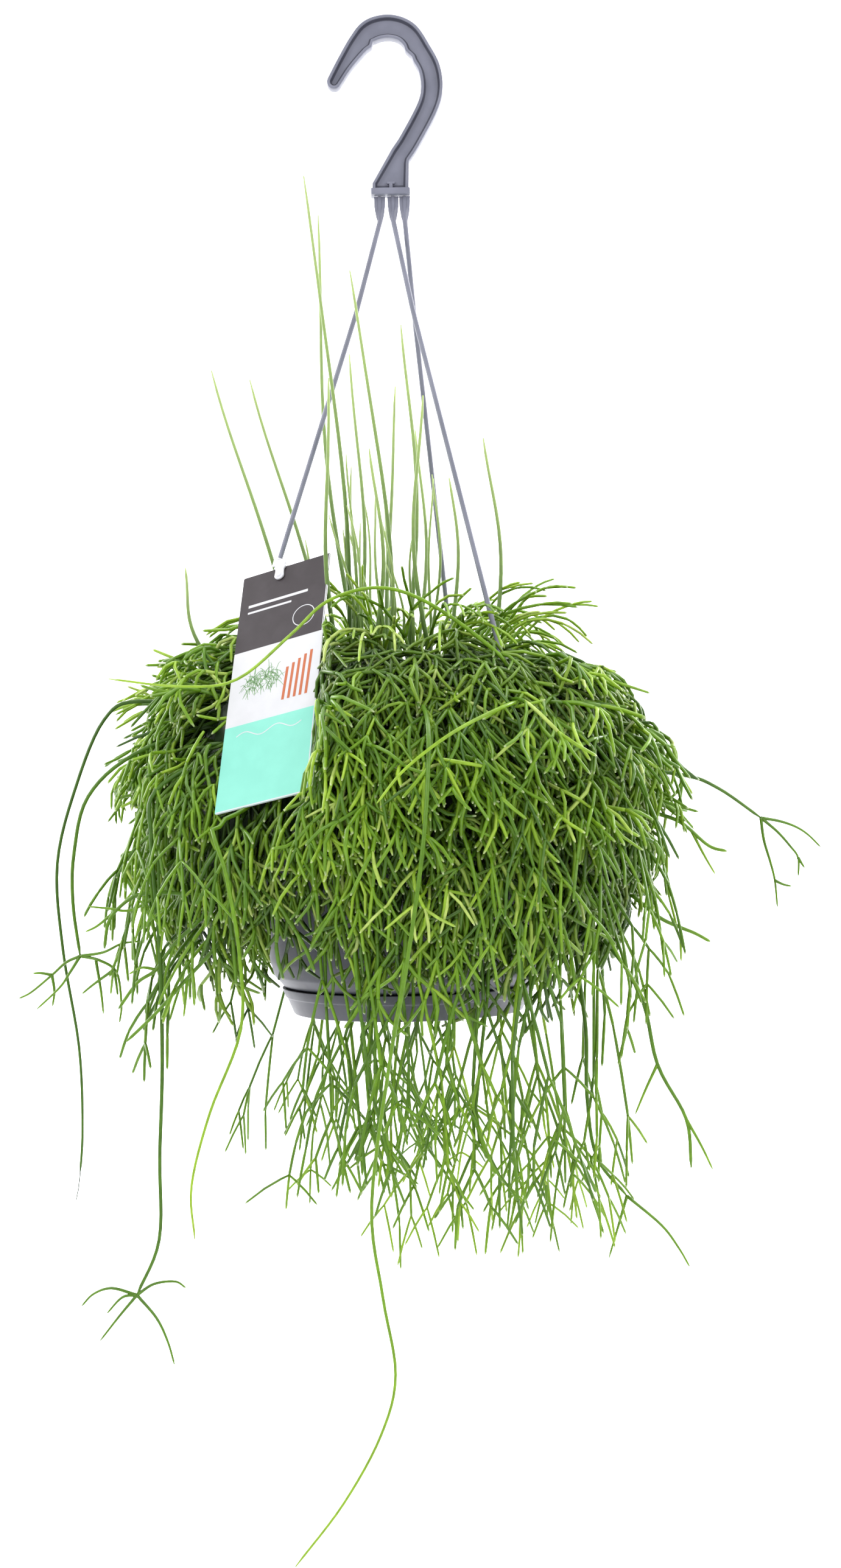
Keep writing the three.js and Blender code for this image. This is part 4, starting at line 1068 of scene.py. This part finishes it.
def grow_tufts(rng, joints, bunch):
    """Forked tufts that leave the heart, lean outward, arch over and hang with their tips down."""
    stems = tuft_roots(rng, bunch)
    for generation, fork_shares in enumerate(TUFT_FORKS):
        stems = stems.followed(fork_counts(rng, fork_shares, len(stems)))
        count = len(stems)
        turn = 0.6 * stems.swing + stems.order * rng.uniform(0.45, 0.9, count) + rng.normal(0, 0.12, count)
        length = rng.uniform(*TUFT_JOINT, count)
        share = TUFT_REACH[generation] / sum(TUFT_REACH[generation:])
        lift = (stems.depth - stems.target) * HEAD_DEPTH * share / (0.5 * sum(TUFT_JOINT))
        lift += TUFT_ARCH[generation] * stems.arch + rng.normal(0, 0.15, count)
        lift = np.clip(lift, -0.6, 0.94)
        along = length * np.sqrt(1 - lift**2)
        stems.h = stems.h + along * np.cos(turn) / PROFILE_LENGTH
        stems.depth = stems.depth - length * lift / HEAD_DEPTH
        girth = np.maximum(form_at(HEAD, stems.h, 0), 20)
        stems.azimuth = stems.azimuth + np.degrees(along * np.sin(turn) / girth)
        stems.swing = turn
        end = head_point(stems.h, stems.depth, stems.azimuth) + rng.normal(0, 0.8, (count, 3))
        end[:, 2] -= PROFILE_LENGTH * np.maximum(stems.h - 1.12, 0)
        end = behind_tag(end)
        start = stems.point
        span = np.linalg.norm(end - start, axis=1, keepdims=True)
        control = 0.35 * (0.5 * (start + end)) + 0.65 * (start + stems.heading * span * 0.5)
        control[:, 2] += 0.06 * span[:, 0]
        control += rng.normal(0, 0.05, (count, 3)) * span
        within = (stems.h < stems.hem + 0.06) & (span[:, 0] > 7) & (span[:, 0] < 42)
        radius = stems.thickness * (1.03 - 0.045 * generation)
        tone = stems.tone + rng.normal(0.045 * generation, 0.09, count)
        tone += np.where(rng.random(count) < 0.05 * generation, 0.26, 0)
        # Painted shade: the deeper a joint lies in the head, the lower its light mark and the darker its
        # colour
        light = np.clip(1.1 - stems.depth, 0.02, 1)
        stems = add_generation(joints, stems, control, end, radius, tone, light, within)
    joints.finish()


def bent(start, leaving, settled, length):
    """Control points and ends of joints that leave along one heading and settle towards another."""
    reach = length[:, None]
    return start + leaving * reach * 0.5, behind_tag(start + (leaving + settled) * 0.5 * reach)


def hang(rng, joints, stems, long_step, short_step):
    """Forked chains of joints that hang under their own weight, each down to its bottom."""
    for generation in range(9):
        room = stems.point[:, 2] - stems.bottom
        stems.near_end = room < 2.2 * short_step[1]
        forks = np.where(
            stems.near_end,
            fork_counts(rng, (0, 0.38, 0.52, 0.1), len(stems)),
            fork_counts(rng, (0, 0.74, 0.26), len(stems)),
        )
        if generation == 0:
            forks = np.ones(len(stems), int)
        forks = np.where(room < 6, 0, forks)
        if not forks.any():
            break
        stems = stems.followed(forks)
        count = len(stems)
        spread = stems.order * np.where(stems.near_end, 0.95, 0.7) * rng.uniform(0.75, 1.2, count)
        spread = np.where(forks[stems.parent] == 1, rng.normal(0, 0.16, count), spread)
        length = np.where(stems.near_end, rng.uniform(*short_step, count), rng.uniform(*long_step, count))
        out = unit(stems.point * [1, 1, 0])
        around = np.stack([-out[:, 1], out[:, 0], np.zeros(count)], axis=1)
        twist = rng.normal(0, 0.45, count)
        side = around * np.cos(twist)[:, None] + out * np.sin(twist)[:, None]
        first = unit(stems.heading + [0, 0, -0.35])
        leaving = unit(first * np.cos(spread)[:, None] + side * np.sin(spread)[:, None])
        control, end = bent(stems.point, leaving, unit(leaving + [0, 0, -0.4]), length)
        radius = stems.thickness * (1 - 0.05 * generation)
        tone = stems.tone + rng.normal(0.03 * generation, 0.08, count)
        # Painted shade: hanging chains get a light mark a little under full
        stems = add_generation(joints, stems, control, end, radius, tone, np.full(count, 0.97))
    joints.finish()


# Loose stems in each bunch that stand up round the whips and arch over
CROWN_STEMS = (13, 20, 18, 18, 14, 12)
# For each generation of crown stems: its share of forks, its droop and its length
CROWN_STEPS = (
    ((0, 1), 0.2, 1.1),
    ((0, 0.7, 0.3), 0.6, 1),
    ((0.1, 0.55, 0.35), 0.9, 0.95),
    ((0.3, 0.4, 0.3), 0.9, 0.8),
)


def outward_from_axis(azimuth):
    angle = np.radians(azimuth)
    return np.stack([np.cos(angle), np.sin(angle), np.zeros(len(azimuth))], axis=1)


def grow_crown(rng, joints, bunch):
    """Stems that rise from the crown, fork, and arch over outward: its loose, see-through top."""
    low, high = BUNCH_EDGES[bunch], BUNCH_EDGES[bunch + 1]
    count = CROWN_STEMS[bunch]
    azimuth = rng.uniform(low + 2, high - 2, count)
    girth = 12 + 40 * np.sqrt(rng.random(count))
    out = outward_from_axis(azimuth)
    lean = 0.05 + 0.25 * girth / 60 + rng.normal(0, 0.13, count)
    stems = Stems(
        point=out * girth[:, None] + [0, 0, -324.0],
        heading=unit(out * lean[:, None] + [0, 0, 1.0] + rng.normal(0, 0.14, (count, 3))),
        out=out,
        tone=np.clip(rng.normal(0.58, 0.13, count), 0, 0.9),
        thickness=STEM_RADIUS * rng.uniform(0.82, 1.0, count),
        droop=rng.uniform(0.3, 1.2, count),
    )
    for generation, (fork_shares, droop, stretch) in enumerate(CROWN_STEPS):
        stems = stems.followed(fork_counts(rng, fork_shares, len(stems)))
        count = len(stems)
        spread = stems.order * rng.uniform(0.5, 0.9, count)
        around = np.cross([0.0, 0.0, 1.0], stems.out)
        leaving = unit(stems.heading + around * spread[:, None] + rng.normal(0, 0.08, (count, 3)))
        fall = stems.droop * droop
        stems.settled = unit(leaving + stems.out * 0.2 - np.array([0, 0, 1.0]) * fall[:, None])
        control, end = bent(stems.point, leaving, stems.settled, rng.uniform(13, 23, count) * stretch)
        radius = stems.thickness * (1 - 0.07 * generation)
        tone = stems.tone + rng.normal(0.06 * generation, 0.08, count)
        # Painted shade: crown stems get a light mark a little under full, brighter with each generation
        light = np.full(count, 0.9 + 0.03 * generation)
        stems = add_generation(joints, stems, control, end, radius, tone, light)
        stems.heading = stems.settled
    joints.finish()


# Chains of joints below the hem: how many in each bunch, between which compass angles, and how low
CHAINS = [
    {"count": 1, "from": 241, "to": 248, "low": -560},
    {"count": 26, "from": 249, "to": 305, "low": -581},
    {"count": 5, "from": 309, "to": 334, "low": -560},
    {"count": 2, "from": 408, "to": 428, "low": -580},
    {"count": 13, "from": 431, "to": 482, "low": -587},
    {"count": 1, "from": 491, "to": 500, "low": -540},
]
# Loose sprays that leave the head's lower flank: how many in each bunch and between which angles
LOOSE_SPRAYS = [
    {"count": 15, "from": 191, "to": 222},
    {"count": 6, "from": 262, "to": 308},
    {"count": 12, "from": 305, "to": 330},
    {"count": 5, "from": 372, "to": 429},
    {"count": 5, "from": 430, "to": 489},
    {"count": 6, "from": 490, "to": 550},
]
LOOSE_LOW = -508


def grow_chains(rng, joints, bunch):
    row = CHAINS[bunch]
    count = row["count"]
    azimuth = row["from"] + (row["to"] - row["from"]) * (np.arange(count) + rng.random(count)) / count
    hem = rng.uniform(0.8, 0.95, count)
    depth = rng.uniform(0.55, 1.1, count)
    point = behind_tag(head_point(hem, depth, azimuth))
    heading = np.tile([0.0, 0.0, -1.0], (count, 1)) + rng.normal(0, 0.1, (count, 3))
    bottom = row["low"] + 52 * rng.random(count) ** 1.4
    bottom += np.maximum(268 - azimuth, 0) * (bunch == 1)
    tone = np.clip(rng.normal(0.4, 0.1, count), 0, 0.8)
    thickness = STEM_RADIUS * rng.uniform(0.78, 0.94, count)
    stems = Stems(point=point, heading=heading, bottom=bottom, tone=tone, thickness=thickness)
    hang(rng, joints, stems, (28, 50), (15, 25))


def grow_loose_sprays(rng, joints, bunch):
    """Sprays that lean out of the lower flank, then hang and fork: the head's ragged lower edge."""
    row = LOOSE_SPRAYS[bunch]
    count = row["count"]
    azimuth = rng.uniform(row["from"], row["to"], count)
    level = rng.uniform(0.5, 0.95, count)
    spreading = flare(level, azimuth)[:, None]
    point = behind_tag(head_point(level, 0.6, azimuth))
    leaning = outward_from_axis(azimuth) * (rng.uniform(0.5, 0.9, (count, 1)) + 0.9 * spreading)
    heading = unit(leaning + [0, 0, -0.5] + rng.normal(0, 0.12, (count, 3)))
    bottom = np.maximum(point[:, 2] - rng.uniform(24, 75, count), LOOSE_LOW)
    tone = np.clip(rng.normal(0.4, 0.1, count), 0, 0.8)
    thickness = STEM_RADIUS * rng.uniform(0.8, 0.95, count)
    stems = Stems(point=point, heading=heading, bottom=bottom, tone=tone, thickness=thickness)
    hang(rng, joints, stems, (20, 32), (13, 22))


# A long shoot: its bunch, its tone from root to tip, its given route, and the routes of its
# forks; dry is the length of a withered tip, and arch is for the one that passes over the tag
def long_shoot(bunch, tone, axis, *forks, dry=0, arch=False):
    return {"bunch": bunch, "tone": tone, "axis": axis, "forks": forks, "dry": dry, "arch": arch}


SHOOTS = [
    long_shoot(
        5,
        (0.05, 0.2),
        [(-88, 0, -335), (-132, -3, -329), (-149, -5, -338), (-163, -7, -370), (-173, -9, -409),
         (-171, -9, -452), (-164, -9, -500), (-163, -9, -540), (-165, -9, -566), (-167, -9, -577)],
        dry=16,
    ),
    long_shoot(
        0,
        (0.2, 0.35),
        [(-90, -26, -340), (-131, -32, -356), (-153, -36, -376), (-160, -38, -403), (-161, -38, -427),
         (-158, -38, -453)],
        [(-158, -38, -453), (-165, -37, -456), (-172, -37, -462), (-182, -37, -470), (-188, -37, -473)],
        [(-172, -37, -462), (-177, -37, -461), (-181, -37, -461)],
        [(-172, -37, -462), (-171, -37, -470), (-172, -37, -477)],
        [(-158, -38, -453), (-163, -40, -461), (-168, -40, -468), (-179, -40, -478)],
        [(-158, -38, -453), (-148, -42, -455), (-140, -42, -461), (-138, -42, -476), (-139, -42, -485)],
        [(-150, -41, -455), (-148, -40, -470), (-147, -40, -481)],
        [(-142, -42, -460), (-152, -40, -467), (-157, -40, -471)],
        [(-158, -38, -453), (-146, -44, -451), (-137, -44, -447), (-128, -44, -446)],
    ),
    long_shoot(
        0,
        (0.1, 0.25),
        [(-88, -50, -356), (-117, -64, -374), (-119, -67, -397), (-116, -67, -449), (-116, -66, -503),
         (-118, -66, -546), (-119, -66, -585), (-130, -66, -611)],
        [(-130, -66, -611), (-142, -64, -608), (-151, -62, -611), (-157, -60, -617)],
        [(-130, -66, -611), (-122, -66, -606), (-112, -66, -605), (-107, -66, -608)],
        [(-130, -66, -611), (-138, -68, -620), (-147, -70, -631)],
        [(-130, -66, -611), (-121, -66, -622), (-116, -66, -633), (-113, -66, -644)],
        [(-130, -66, -611), (-137, -66, -612), (-144, -67, -619)],
    ),
    long_shoot(
        0,
        (0.35, 0.9),
        [(-62, -78, -356), (-86, -106, -382), (-80, -111, -413), (-75, -112, -446), (-75, -110, -482),
         (-90, -107, -520), (-99, -106, -553), (-98, -106, -577)],
    ),
    long_shoot(
        0,
        (0.3, 0.45),
        [(-92, -52, -412), (-101, -60, -422), (-115, -60, -422), (-127, -60, -423), (-136, -60, -429),
         (-141, -60, -436), (-143, -60, -448)],
        [(-115, -60, -422), (-130, -60, -430), (-141, -60, -429), (-150, -60, -428)],
        [(-136, -60, -429), (-146, -58, -437), (-152, -58, -440)],
    ),
    long_shoot(
        0,
        (0.3, 0.5),
        [(-88, -56, -424), (-97, -66, -435), (-109, -66, -446), (-118, -66, -458), (-127, -66, -464),
         (-136, -66, -476)],
        [(-109, -66, -446), (-114, -66, -462), (-113, -66, -474)],
        [(-118, -66, -458), (-125, -65, -457), (-131, -64, -460)],
    ),
    long_shoot(
        0,
        (0.3, 0.5),
        [(-80, -60, -432), (-89, -70, -447), (-103, -70, -462), (-118, -70, -478), (-132, -70, -491)],
        [(-103, -70, -462), (-104, -70, -472), (-105, -70, -480)],
    ),
    long_shoot(
        1,
        (0.3, 0.8),
        [(8, -90, -332), (12, -136, -350), (9, -150, -397), (0, -148, -455), (-8, -141, -496),
         (-17, -134, -558), (-13, -130, -599), (-8, -129, -634), (-15, -128, -661), (-32, -127, -691),
         (-54, -126, -719)],
    ),
    long_shoot(
        1,
        (0.5, 0.85),
        [(54, -70, -346), (51, -82, -322), (38, -82, -307), (12, -78, -288), (-10, -76, -281),
         (-33, -80, -287), (-50, -90, -303), (-74, -106, -324), (-99, -112, -327), (-134, -92, -322)],
        arch=True,
    ),
    long_shoot(
        1,
        (0.6, 0.85),
        [(53, -77, -338), (49, -120, -338), (24, -140, -350), (2, -146, -366), (-11, -147, -381)],
    ),
    long_shoot(
        2,
        (0.1, 0.3),
        [(96, -16, -366), (137, -17, -371), (155, -16, -378), (176, -14, -393)],
        [(176, -14, -393), (186, -12, -395), (194, -11, -398), (200, -10, -402), (206, -9, -408)],
        [(176, -14, -393), (184, -14, -400), (190, -14, -407), (194, -14, -413), (194, -14, -422)],
        [(194, -14, -413), (197, -14, -418)],
        [(176, -14, -393), (177, -16, -404), (180, -16, -415), (182, -16, -424), (183, -16, -437)],
        [(182, -16, -424), (186, -16, -426), (190, -16, -427)],
    ),
    long_shoot(
        2,
        (0.35, 0.6),
        [(108, -46, -428), (121, -50, -439), (131, -50, -444), (138, -50, -447), (145, -50, -451)],
        [(131, -50, -444), (131, -50, -453), (131, -50, -460)],
    ),
    long_shoot(
        2,
        (0.35, 0.6),
        [(118, -18, -388), (135, -20, -394), (149, -20, -406), (158, -20, -409)],
        [(141, -20, -399), (147, -20, -411), (152, -20, -420)],
    ),
    long_shoot(
        2,
        (0.2, 0.4),
        [(80, -50, -452), (84, -60, -490), (84, -60, -522), (88, -60, -551), (102, -60, -570)],
        [(102, -60, -570), (98, -60, -583), (93, -60, -599)],
        [(102, -60, -570), (118, -60, -584), (126, -60, -595), (131, -60, -604)],
    ),
    long_shoot(
        2,
        (0.2, 0.5),
        [(81, -50, -432), (108, -66, -470), (117, -66, -507), (130, -66, -533), (132, -66, -556)],
        [(117, -66, -507), (111, -67, -519), (106, -68, -530)],
        [(130, -66, -533), (137, -66, -546), (142, -66, -557)],
    ),
]
SHOOT_SAMPLES = 6
SHOOT_RADIUS = 1.1
FORK_RADIUS = 0.85


def long_stem(points, first_radius, last_radius, first_tone, last_tone, dry=0, pale=0.0):
    """A long unbroken stem as points, faces and marks: withered over its last length dry, or pale."""
    count = len(points)
    radii = [first_radius + (last_radius - first_radius) * i / (count - 1) for i in range(count)]
    marks = []
    for i, point in enumerate(points):
        share = i / (count - 1)
        tone = first_tone + (last_tone - first_tone) * share
        withered = (points[-1] - point).length < dry
        if withered:
            radii[i] *= 0.4
        marks += [[tone, pale * share, 0.0 if withered else 1.0, 1.0]] * LONG_SIDES
    radii[-1] *= 0.5
    vertices, faces = swept(points, [circle(radius, LONG_SIDES) for radius in radii])
    return np.array(vertices), faces, np.array(marks)


def smooth_route(route, behind):
    """Points of a smooth curve through a route, bent back behind the tag where asked."""
    samples = (len(route) - 1) * SHOOT_SAMPLES
    points = [spline(route, s / samples)[0] for s in range(samples + 1)]
    if behind:
        points = [Vector(row) for row in behind_tag(np.array([tuple(point) for point in points]))]
    return points


def make_shoots(bunch):
    stems = []
    for shoot in SHOOTS:
        if shoot["bunch"] != bunch:
            continue
        behind = not shoot["arch"]
        first_tone, last_tone = shoot["tone"]
        last_radius = SHOOT_RADIUS * (0.75 if shoot["forks"] else 0.5)
        axis = smooth_route(shoot["axis"], behind)
        stems.append(long_stem(axis, SHOOT_RADIUS, last_radius, first_tone, last_tone, shoot["dry"]))
        for route in shoot["forks"]:
            branch = smooth_route(route, behind)
            stems.append(long_stem(branch, FORK_RADIUS, FORK_RADIUS * 0.55, last_tone, last_tone + 0.2))
    return stems


# Young upright whips: bunch, foot (x, y), tip (x, y, z) and how far each bows sideways
WHIPS = [
    (0, -26, -14, -44, -24, -74, 6),
    (5, -22, 8, -39, 12, -84, -5),
    (1, -5, -24, -22, -34, -123, 6),
    (0, -44, -4, -92, 4, -163, -2),
    (5, -28, 10, -74, 20, -165, -2),
    (5, -90, 6, -109, 5, -262, -5),
    (1, 4, -34, 4, -44, -152, 4),
    (4, -6, 30, 0, 42, -166, -3),
    (1, 14, -38, 12, -60, -189, -5),
    (4, 7, 42, 10, 60, -186, 4),
    (2, 46, -24, 43, -30, -205, 4),
    (0, -30, -30, -32, -50, -178, -4),
    (5, -24, 24, -24, 36, -150, 5),
    (1, -13, -46, -12, -62, -214, 4),
    (4, 2, 52, -8, 74, -222, -4),
    (2, 24, -12, 26, -15, -222, 3),
]
WHIP_SAMPLES = 16
WHIP_FOOT_Z = -322
# Short whips beside the listed ones, in each bunch
SHORT_WHIPS = (6, 5, 1, 1, 1, 5)


def whip_points(foot_x, foot_y, tip_x, tip_y, tip_z, bow):
    foot, tip = Vector((foot_x, foot_y, WHIP_FOOT_Z)), Vector((tip_x, tip_y, tip_z))
    points = []
    for s in range(WHIP_SAMPLES + 1):
        t = s / WHIP_SAMPLES
        point = foot.lerp(tip, t)
        point.x += bow * math.sin(math.pi * t) + 1.1 * math.sin(2.3 * math.pi * t + bow)
        points.append(point)
    return points


def make_whips(rng, bunch):
    """Thin whips that rise from the crown, the listed ones and shorter ones beside them."""
    stems = []
    for own_bunch, *row in WHIPS:
        if own_bunch == bunch:
            stems.append(long_stem(whip_points(*row), 1.35, 0.7, 0.1, 0.75, pale=0.42))
    for _ in range(SHORT_WHIPS[bunch]):
        azimuth = rng.uniform(BUNCH_EDGES[bunch] + 6, BUNCH_EDGES[bunch + 1] - (22 if bunch == 1 else 6))
        foot = polar(azimuth, rng.uniform(12, 46), 0)
        tip = foot * rng.uniform(1.1, 1.7)
        points = whip_points(foot.x, foot.y, tip.x, tip.y, rng.uniform(-268, -205), rng.uniform(-5, 5))
        rows = np.array([tuple(point) for point in points])
        if not blocked(rows[:-1], 0.5 * (rows[:-1] + rows[1:]), rows[1:]).any():
            stems.append(long_stem(points, 1.05, 0.5, 0.2, 0.7, pale=0.4))
    return stems


def joint_points(rows, sides, shares, necks, tips):
    """Points (joints, rings, sides, 3) of bent round joints with narrow necks and, on last joints, tips."""
    start, control, end = rows["start"], rows["control"], rows["end"]
    t = np.array(shares)[None, :, None]
    centre = (1 - t) ** 2 * start[:, None] + 2 * t * (1 - t) * control[:, None] + t**2 * end[:, None]
    tangent = unit(2 * (1 - t) * (control - start)[:, None] + 2 * t * (end - control)[:, None])
    chord = unit(end - start)
    upright = np.abs(chord[:, 2]) > 0.8
    reference = np.where(upright[:, None], [1.0, 0.0, 0.0], [0.0, 0.0, 1.0])[:, None]
    across = unit(np.cross(tangent, reference))
    third = np.cross(tangent, across)
    angle = 2 * np.pi * np.arange(sides) / sides
    ring = across[:, :, None] * np.cos(angle)[:, None] + third[:, :, None] * np.sin(angle)[:, None]
    profile = np.array(necks)[None] * (1 + (np.array(tips)[None] - 1) * rows["tip"][:, None])
    return centre[:, :, None] + ring * (rows["radius"][:, None] * profile)[:, :, None, None]


def tube_faces(count, rings, sides):
    """Faces of count closed tubes whose points follow one another."""
    base = np.arange(count)[:, None, None] * rings * sides
    ring = np.arange(rings - 1)[None, :, None] * sides
    side = np.arange(sides)[None, None]
    a = base + ring + side
    b = base + ring + (side + 1) % sides
    quads = np.stack([a, b, b + sides, a + sides], axis=-1).reshape(-1, 4).tolist()
    start = np.arange(count)[:, None] * rings * sides
    first = (start + np.arange(sides)[::-1]).tolist()
    last = (start + (rings - 1) * sides + np.arange(sides)).tolist()
    return quads + first + last


# Rings of a joint: their shares along it, narrowing at the neck and at a tip, and how pale a tip is
OUTER = {
    "sides": 5,
    "shares": (0.0, 0.18, 0.54, 0.94, 1.0),
    "necks": (0.78, 0.98, 1.0, 0.96, 0.88),
    "tips": (1.0, 1.0, 0.98, 0.84, 0.42),
    "pale": (0.0, 0.0, 0.0, 0.0, 0.7),
}
INNER = {
    "sides": 4,
    "shares": (0.0, 0.5, 1.0),
    "necks": (0.8, 1.0, 0.9),
    "tips": (1.0, 1.0, 0.7),
    "pale": (0.0, 0.0, 0.0),
}
# Joints whose painted light mark is below this lie in painted shade and get the plainer inner form
INNER_LIGHT = 0.36
LONG_SIDES = 7
CORE_STEPS = 14
CORE_HEM = 7


def core_mesh(rng, bunch):
    """A lumpy core of a bunch, well inside its stems, painted dark as shade."""
    low, high = BUNCH_EDGES[bunch], BUNCH_EDGES[bunch + 1]
    outer = [tuple(p) for p in HEART[:CORE_HEM]]
    under = [(96, -404), (97, -356), (92, -344), (82, -344), (77, -350)]
    under += [(73, SOIL_Z + 0.6), (12, SOIL_Z + 0.6)]
    rings = []
    for s in range(CORE_STEPS + 1):
        azimuth = low + 1.2 + (high - low - 2.4) * s / CORE_STEPS
        ring = []
        for row, (radius, z) in enumerate(outer + under):
            wobble = rng.uniform(-6, 1) if 0 < row < len(outer) else 0
            shrink, sink = (0.97, 3) if row < len(outer) else (1, 0)
            size = max(float(flattened(np.array(radius), azimuth)) * shrink + wobble, 10)
            ring.append(polar(azimuth, size, z - sink))
        rings.append(ring)
    vertices, loops = ringed(rings)
    return behind_tag(np.array(vertices)), bridged(loops) + [loops[0][::-1], loops[-1]]


class Growth:
    """What a bunch's mesh is gathered from: points, faces and marks of one closed form after another."""

    def __init__(self):
        self.points, self.faces, self.marks, self.total = [], [], [], 0

    def add(self, points, faces, marks):
        self.faces += [[i + self.total for i in face] for face in faces]
        self.points.append(points)
        self.marks.append(marks)
        self.total += len(points)


def add_joints(growth, rows, form):
    count, rings, sides = len(rows["radius"]), len(form["shares"]), form["sides"]
    points = joint_points(rows, sides, form["shares"], form["necks"], form["tips"])
    marks = np.ones((count, rings, sides, 4))
    marks[..., 0] = rows["tone"][:, None, None]
    marks[..., 1] = np.array(form["pale"])[None, :, None] * rows["tip"][:, None, None]
    marks[..., 2] = rows["light"][:, None, None]
    growth.add(points.reshape(-1, 3), tube_faces(count, rings, sides), marks.reshape(-1, 4))


def build_bunch(bunch):
    rng, chain_rng, spray_rng, crown_rng = (np.random.default_rng(SEED + 100 * bunch + k) for k in range(4))
    joints = Joints()
    grow_tufts(rng, joints, bunch)
    grow_chains(chain_rng, joints, bunch)
    grow_loose_sprays(spray_rng, joints, bunch)
    grow_crown(crown_rng, joints, bunch)
    stems = make_shoots(bunch) + make_whips(rng, bunch)
    columns = {key: joints.column(key) for key in Joints.KEYS}
    inner = columns["light"] < INNER_LIGHT
    growth = Growth()
    for chosen, form in ((~inner, OUTER), (inner, INNER)):
        add_joints(growth, {key: value[chosen] for key, value in columns.items()}, form)
    for stem in stems:
        growth.add(*stem)
    core, core_faces = core_mesh(rng, bunch)
    # Painted shade: a very low light mark and a dark tone make the core a dark mass where the head's middle
    # is only shade
    growth.add(core, core_faces, np.tile([0.1, 0, 0.06, 1], (len(core), 1)))
    root = polar((BUNCH_EDGES[bunch] + BUNCH_EDGES[bunch + 1]) / 2, ROOT_RING_RADIUS, SOIL_Z + 6)
    foot = Vector((root.x, root.y, SOIL_Z - ROOT_DEPTH))
    root_points, root_faces = swept([root, foot], [circle(ROOT_RADIUS, 8)] * 2)
    # Painted shade: the root's light mark of 0.3 darkens it
    growth.add(np.array(root_points), root_faces, np.tile([0.2, 0, 0.3, 1], (len(root_points), 1)))
    vertices = (np.concatenate(growth.points) * MM).tolist()
    mesh = new_mesh(f"stems_{bunch + 1}", vertices, growth.faces, STEM)
    mesh.shade_smooth()
    colors = mesh.attributes.new("marks", "FLOAT_COLOR", "POINT")
    colors.data.foreach_set("color", np.concatenate(growth.marks).ravel().astype(np.float32))
    piece = add_piece(mesh)
    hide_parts(f"bunch_{bunch + 1}")
    triangles = sum(len(face) - 2 for face in growth.faces)
    print(f"bunch {bunch + 1}: {len(joints)} joints, {triangles} triangles")


# The camera, the floor and the light


def build_camera():
    data = bpy.data.cameras.new("camera")
    data.sensor_fit = "AUTO"
    data.sensor_width = SENSOR
    data.lens = PHOTO_FOCAL_PIXELS / PHOTO_HEIGHT_PIXELS * SENSOR
    camera = linked("camera", data)
    camera.location = Vector(CAMERA_PLACE) * MM
    camera.rotation_euler = Euler((math.radians(90), math.radians(CAMERA_ROLL), 0))
    bpy.context.scene.camera = camera


def build_floor():
    """A pale floor that curves up into a backdrop far behind the object."""
    material, shader = new_material("pale_floor", (0.86, 0.86, 0.87), 0.9)
    tint = ramp(material, noise(material, 3), [(0.3, (0.85, 0.85, 0.862)), (0.7, (0.88, 0.88, 0.89))])
    material.node_tree.links.new(tint, shader.inputs["Base Color"])
    floor_z, far, radius, top, half = -0.98, 2.2, 1.2, 3.2, 5.0
    profile = [(-5.0, floor_z), (far, floor_z)]
    for s in range(1, 13):
        angle = math.pi / 2 * s / 12
        profile.append((far + radius * math.sin(angle), floor_z + radius * (1 - math.cos(angle))))
    profile.append((far + radius, top))
    vertices = [(x, y, z) for y, z in profile for x in (-half, half)]
    faces = [(2 * i, 2 * i + 1, 2 * i + 3, 2 * i + 2) for i in range(len(profile) - 1)]
    mesh = new_mesh("floor", vertices, faces, material)
    mesh.shade_smooth()
    floor = linked("floor", mesh)


# Each soft light's name, place, target, size and power
MIDDLE = (0, 0, -0.36)
LIGHTS = [
    ("key", (-1.2, -1.1, 0.5), MIDDLE, (0.6, 1.0), 13.5),
    ("fill", (1.3, -1.1, 0.35), MIDDLE, (0.6, 1.0), 12),
    ("crown", (0.1, 0.1, 1.1), MIDDLE, (0.9, 0.9), 14),
    ("left_edge", (-1.1, 0.7, 0.1), MIDDLE, (0.6, 1.0), 18),
    ("right_edge", (1.1, 0.7, 0.1), MIDDLE, (0.6, 1.0), 21),
    ("backdrop", (0, 1.3, 0.9), (0, 3.2, -0.2), (2.5, 1.0), 150),
]


def build_light():
    world = bpy.data.worlds.new("studio")
    world.use_nodes = True
    background = world.node_tree.nodes["Background"]
    background.inputs["Color"].default_value = (0.95, 0.96, 1.0, 1)
    background.inputs["Strength"].default_value = 0.75
    bpy.context.scene.world = world
    for name, place, target, size, power in LIGHTS:
        data = bpy.data.lights.new(name, "AREA")
        data.shape = "RECTANGLE"
        data.size, data.size_y = size
        data.energy = power
        light = linked(name, data)
        light.location = place
        light.rotation_euler = (Vector(target) - Vector(place)).to_track_quat("-Z", "Y").to_euler()
    bpy.context.scene.view_settings.view_transform = "Standard"


build_camera()
build_floor()
build_light()
build_hook()
for strand_row in STRANDS:
    build_strand(strand_row)
build_pot()
build_saucer()
build_soil()
build_tag()
build_clip()
for bunch_index in range(len(BUNCH_EDGES) - 1):
    build_bunch(bunch_index)
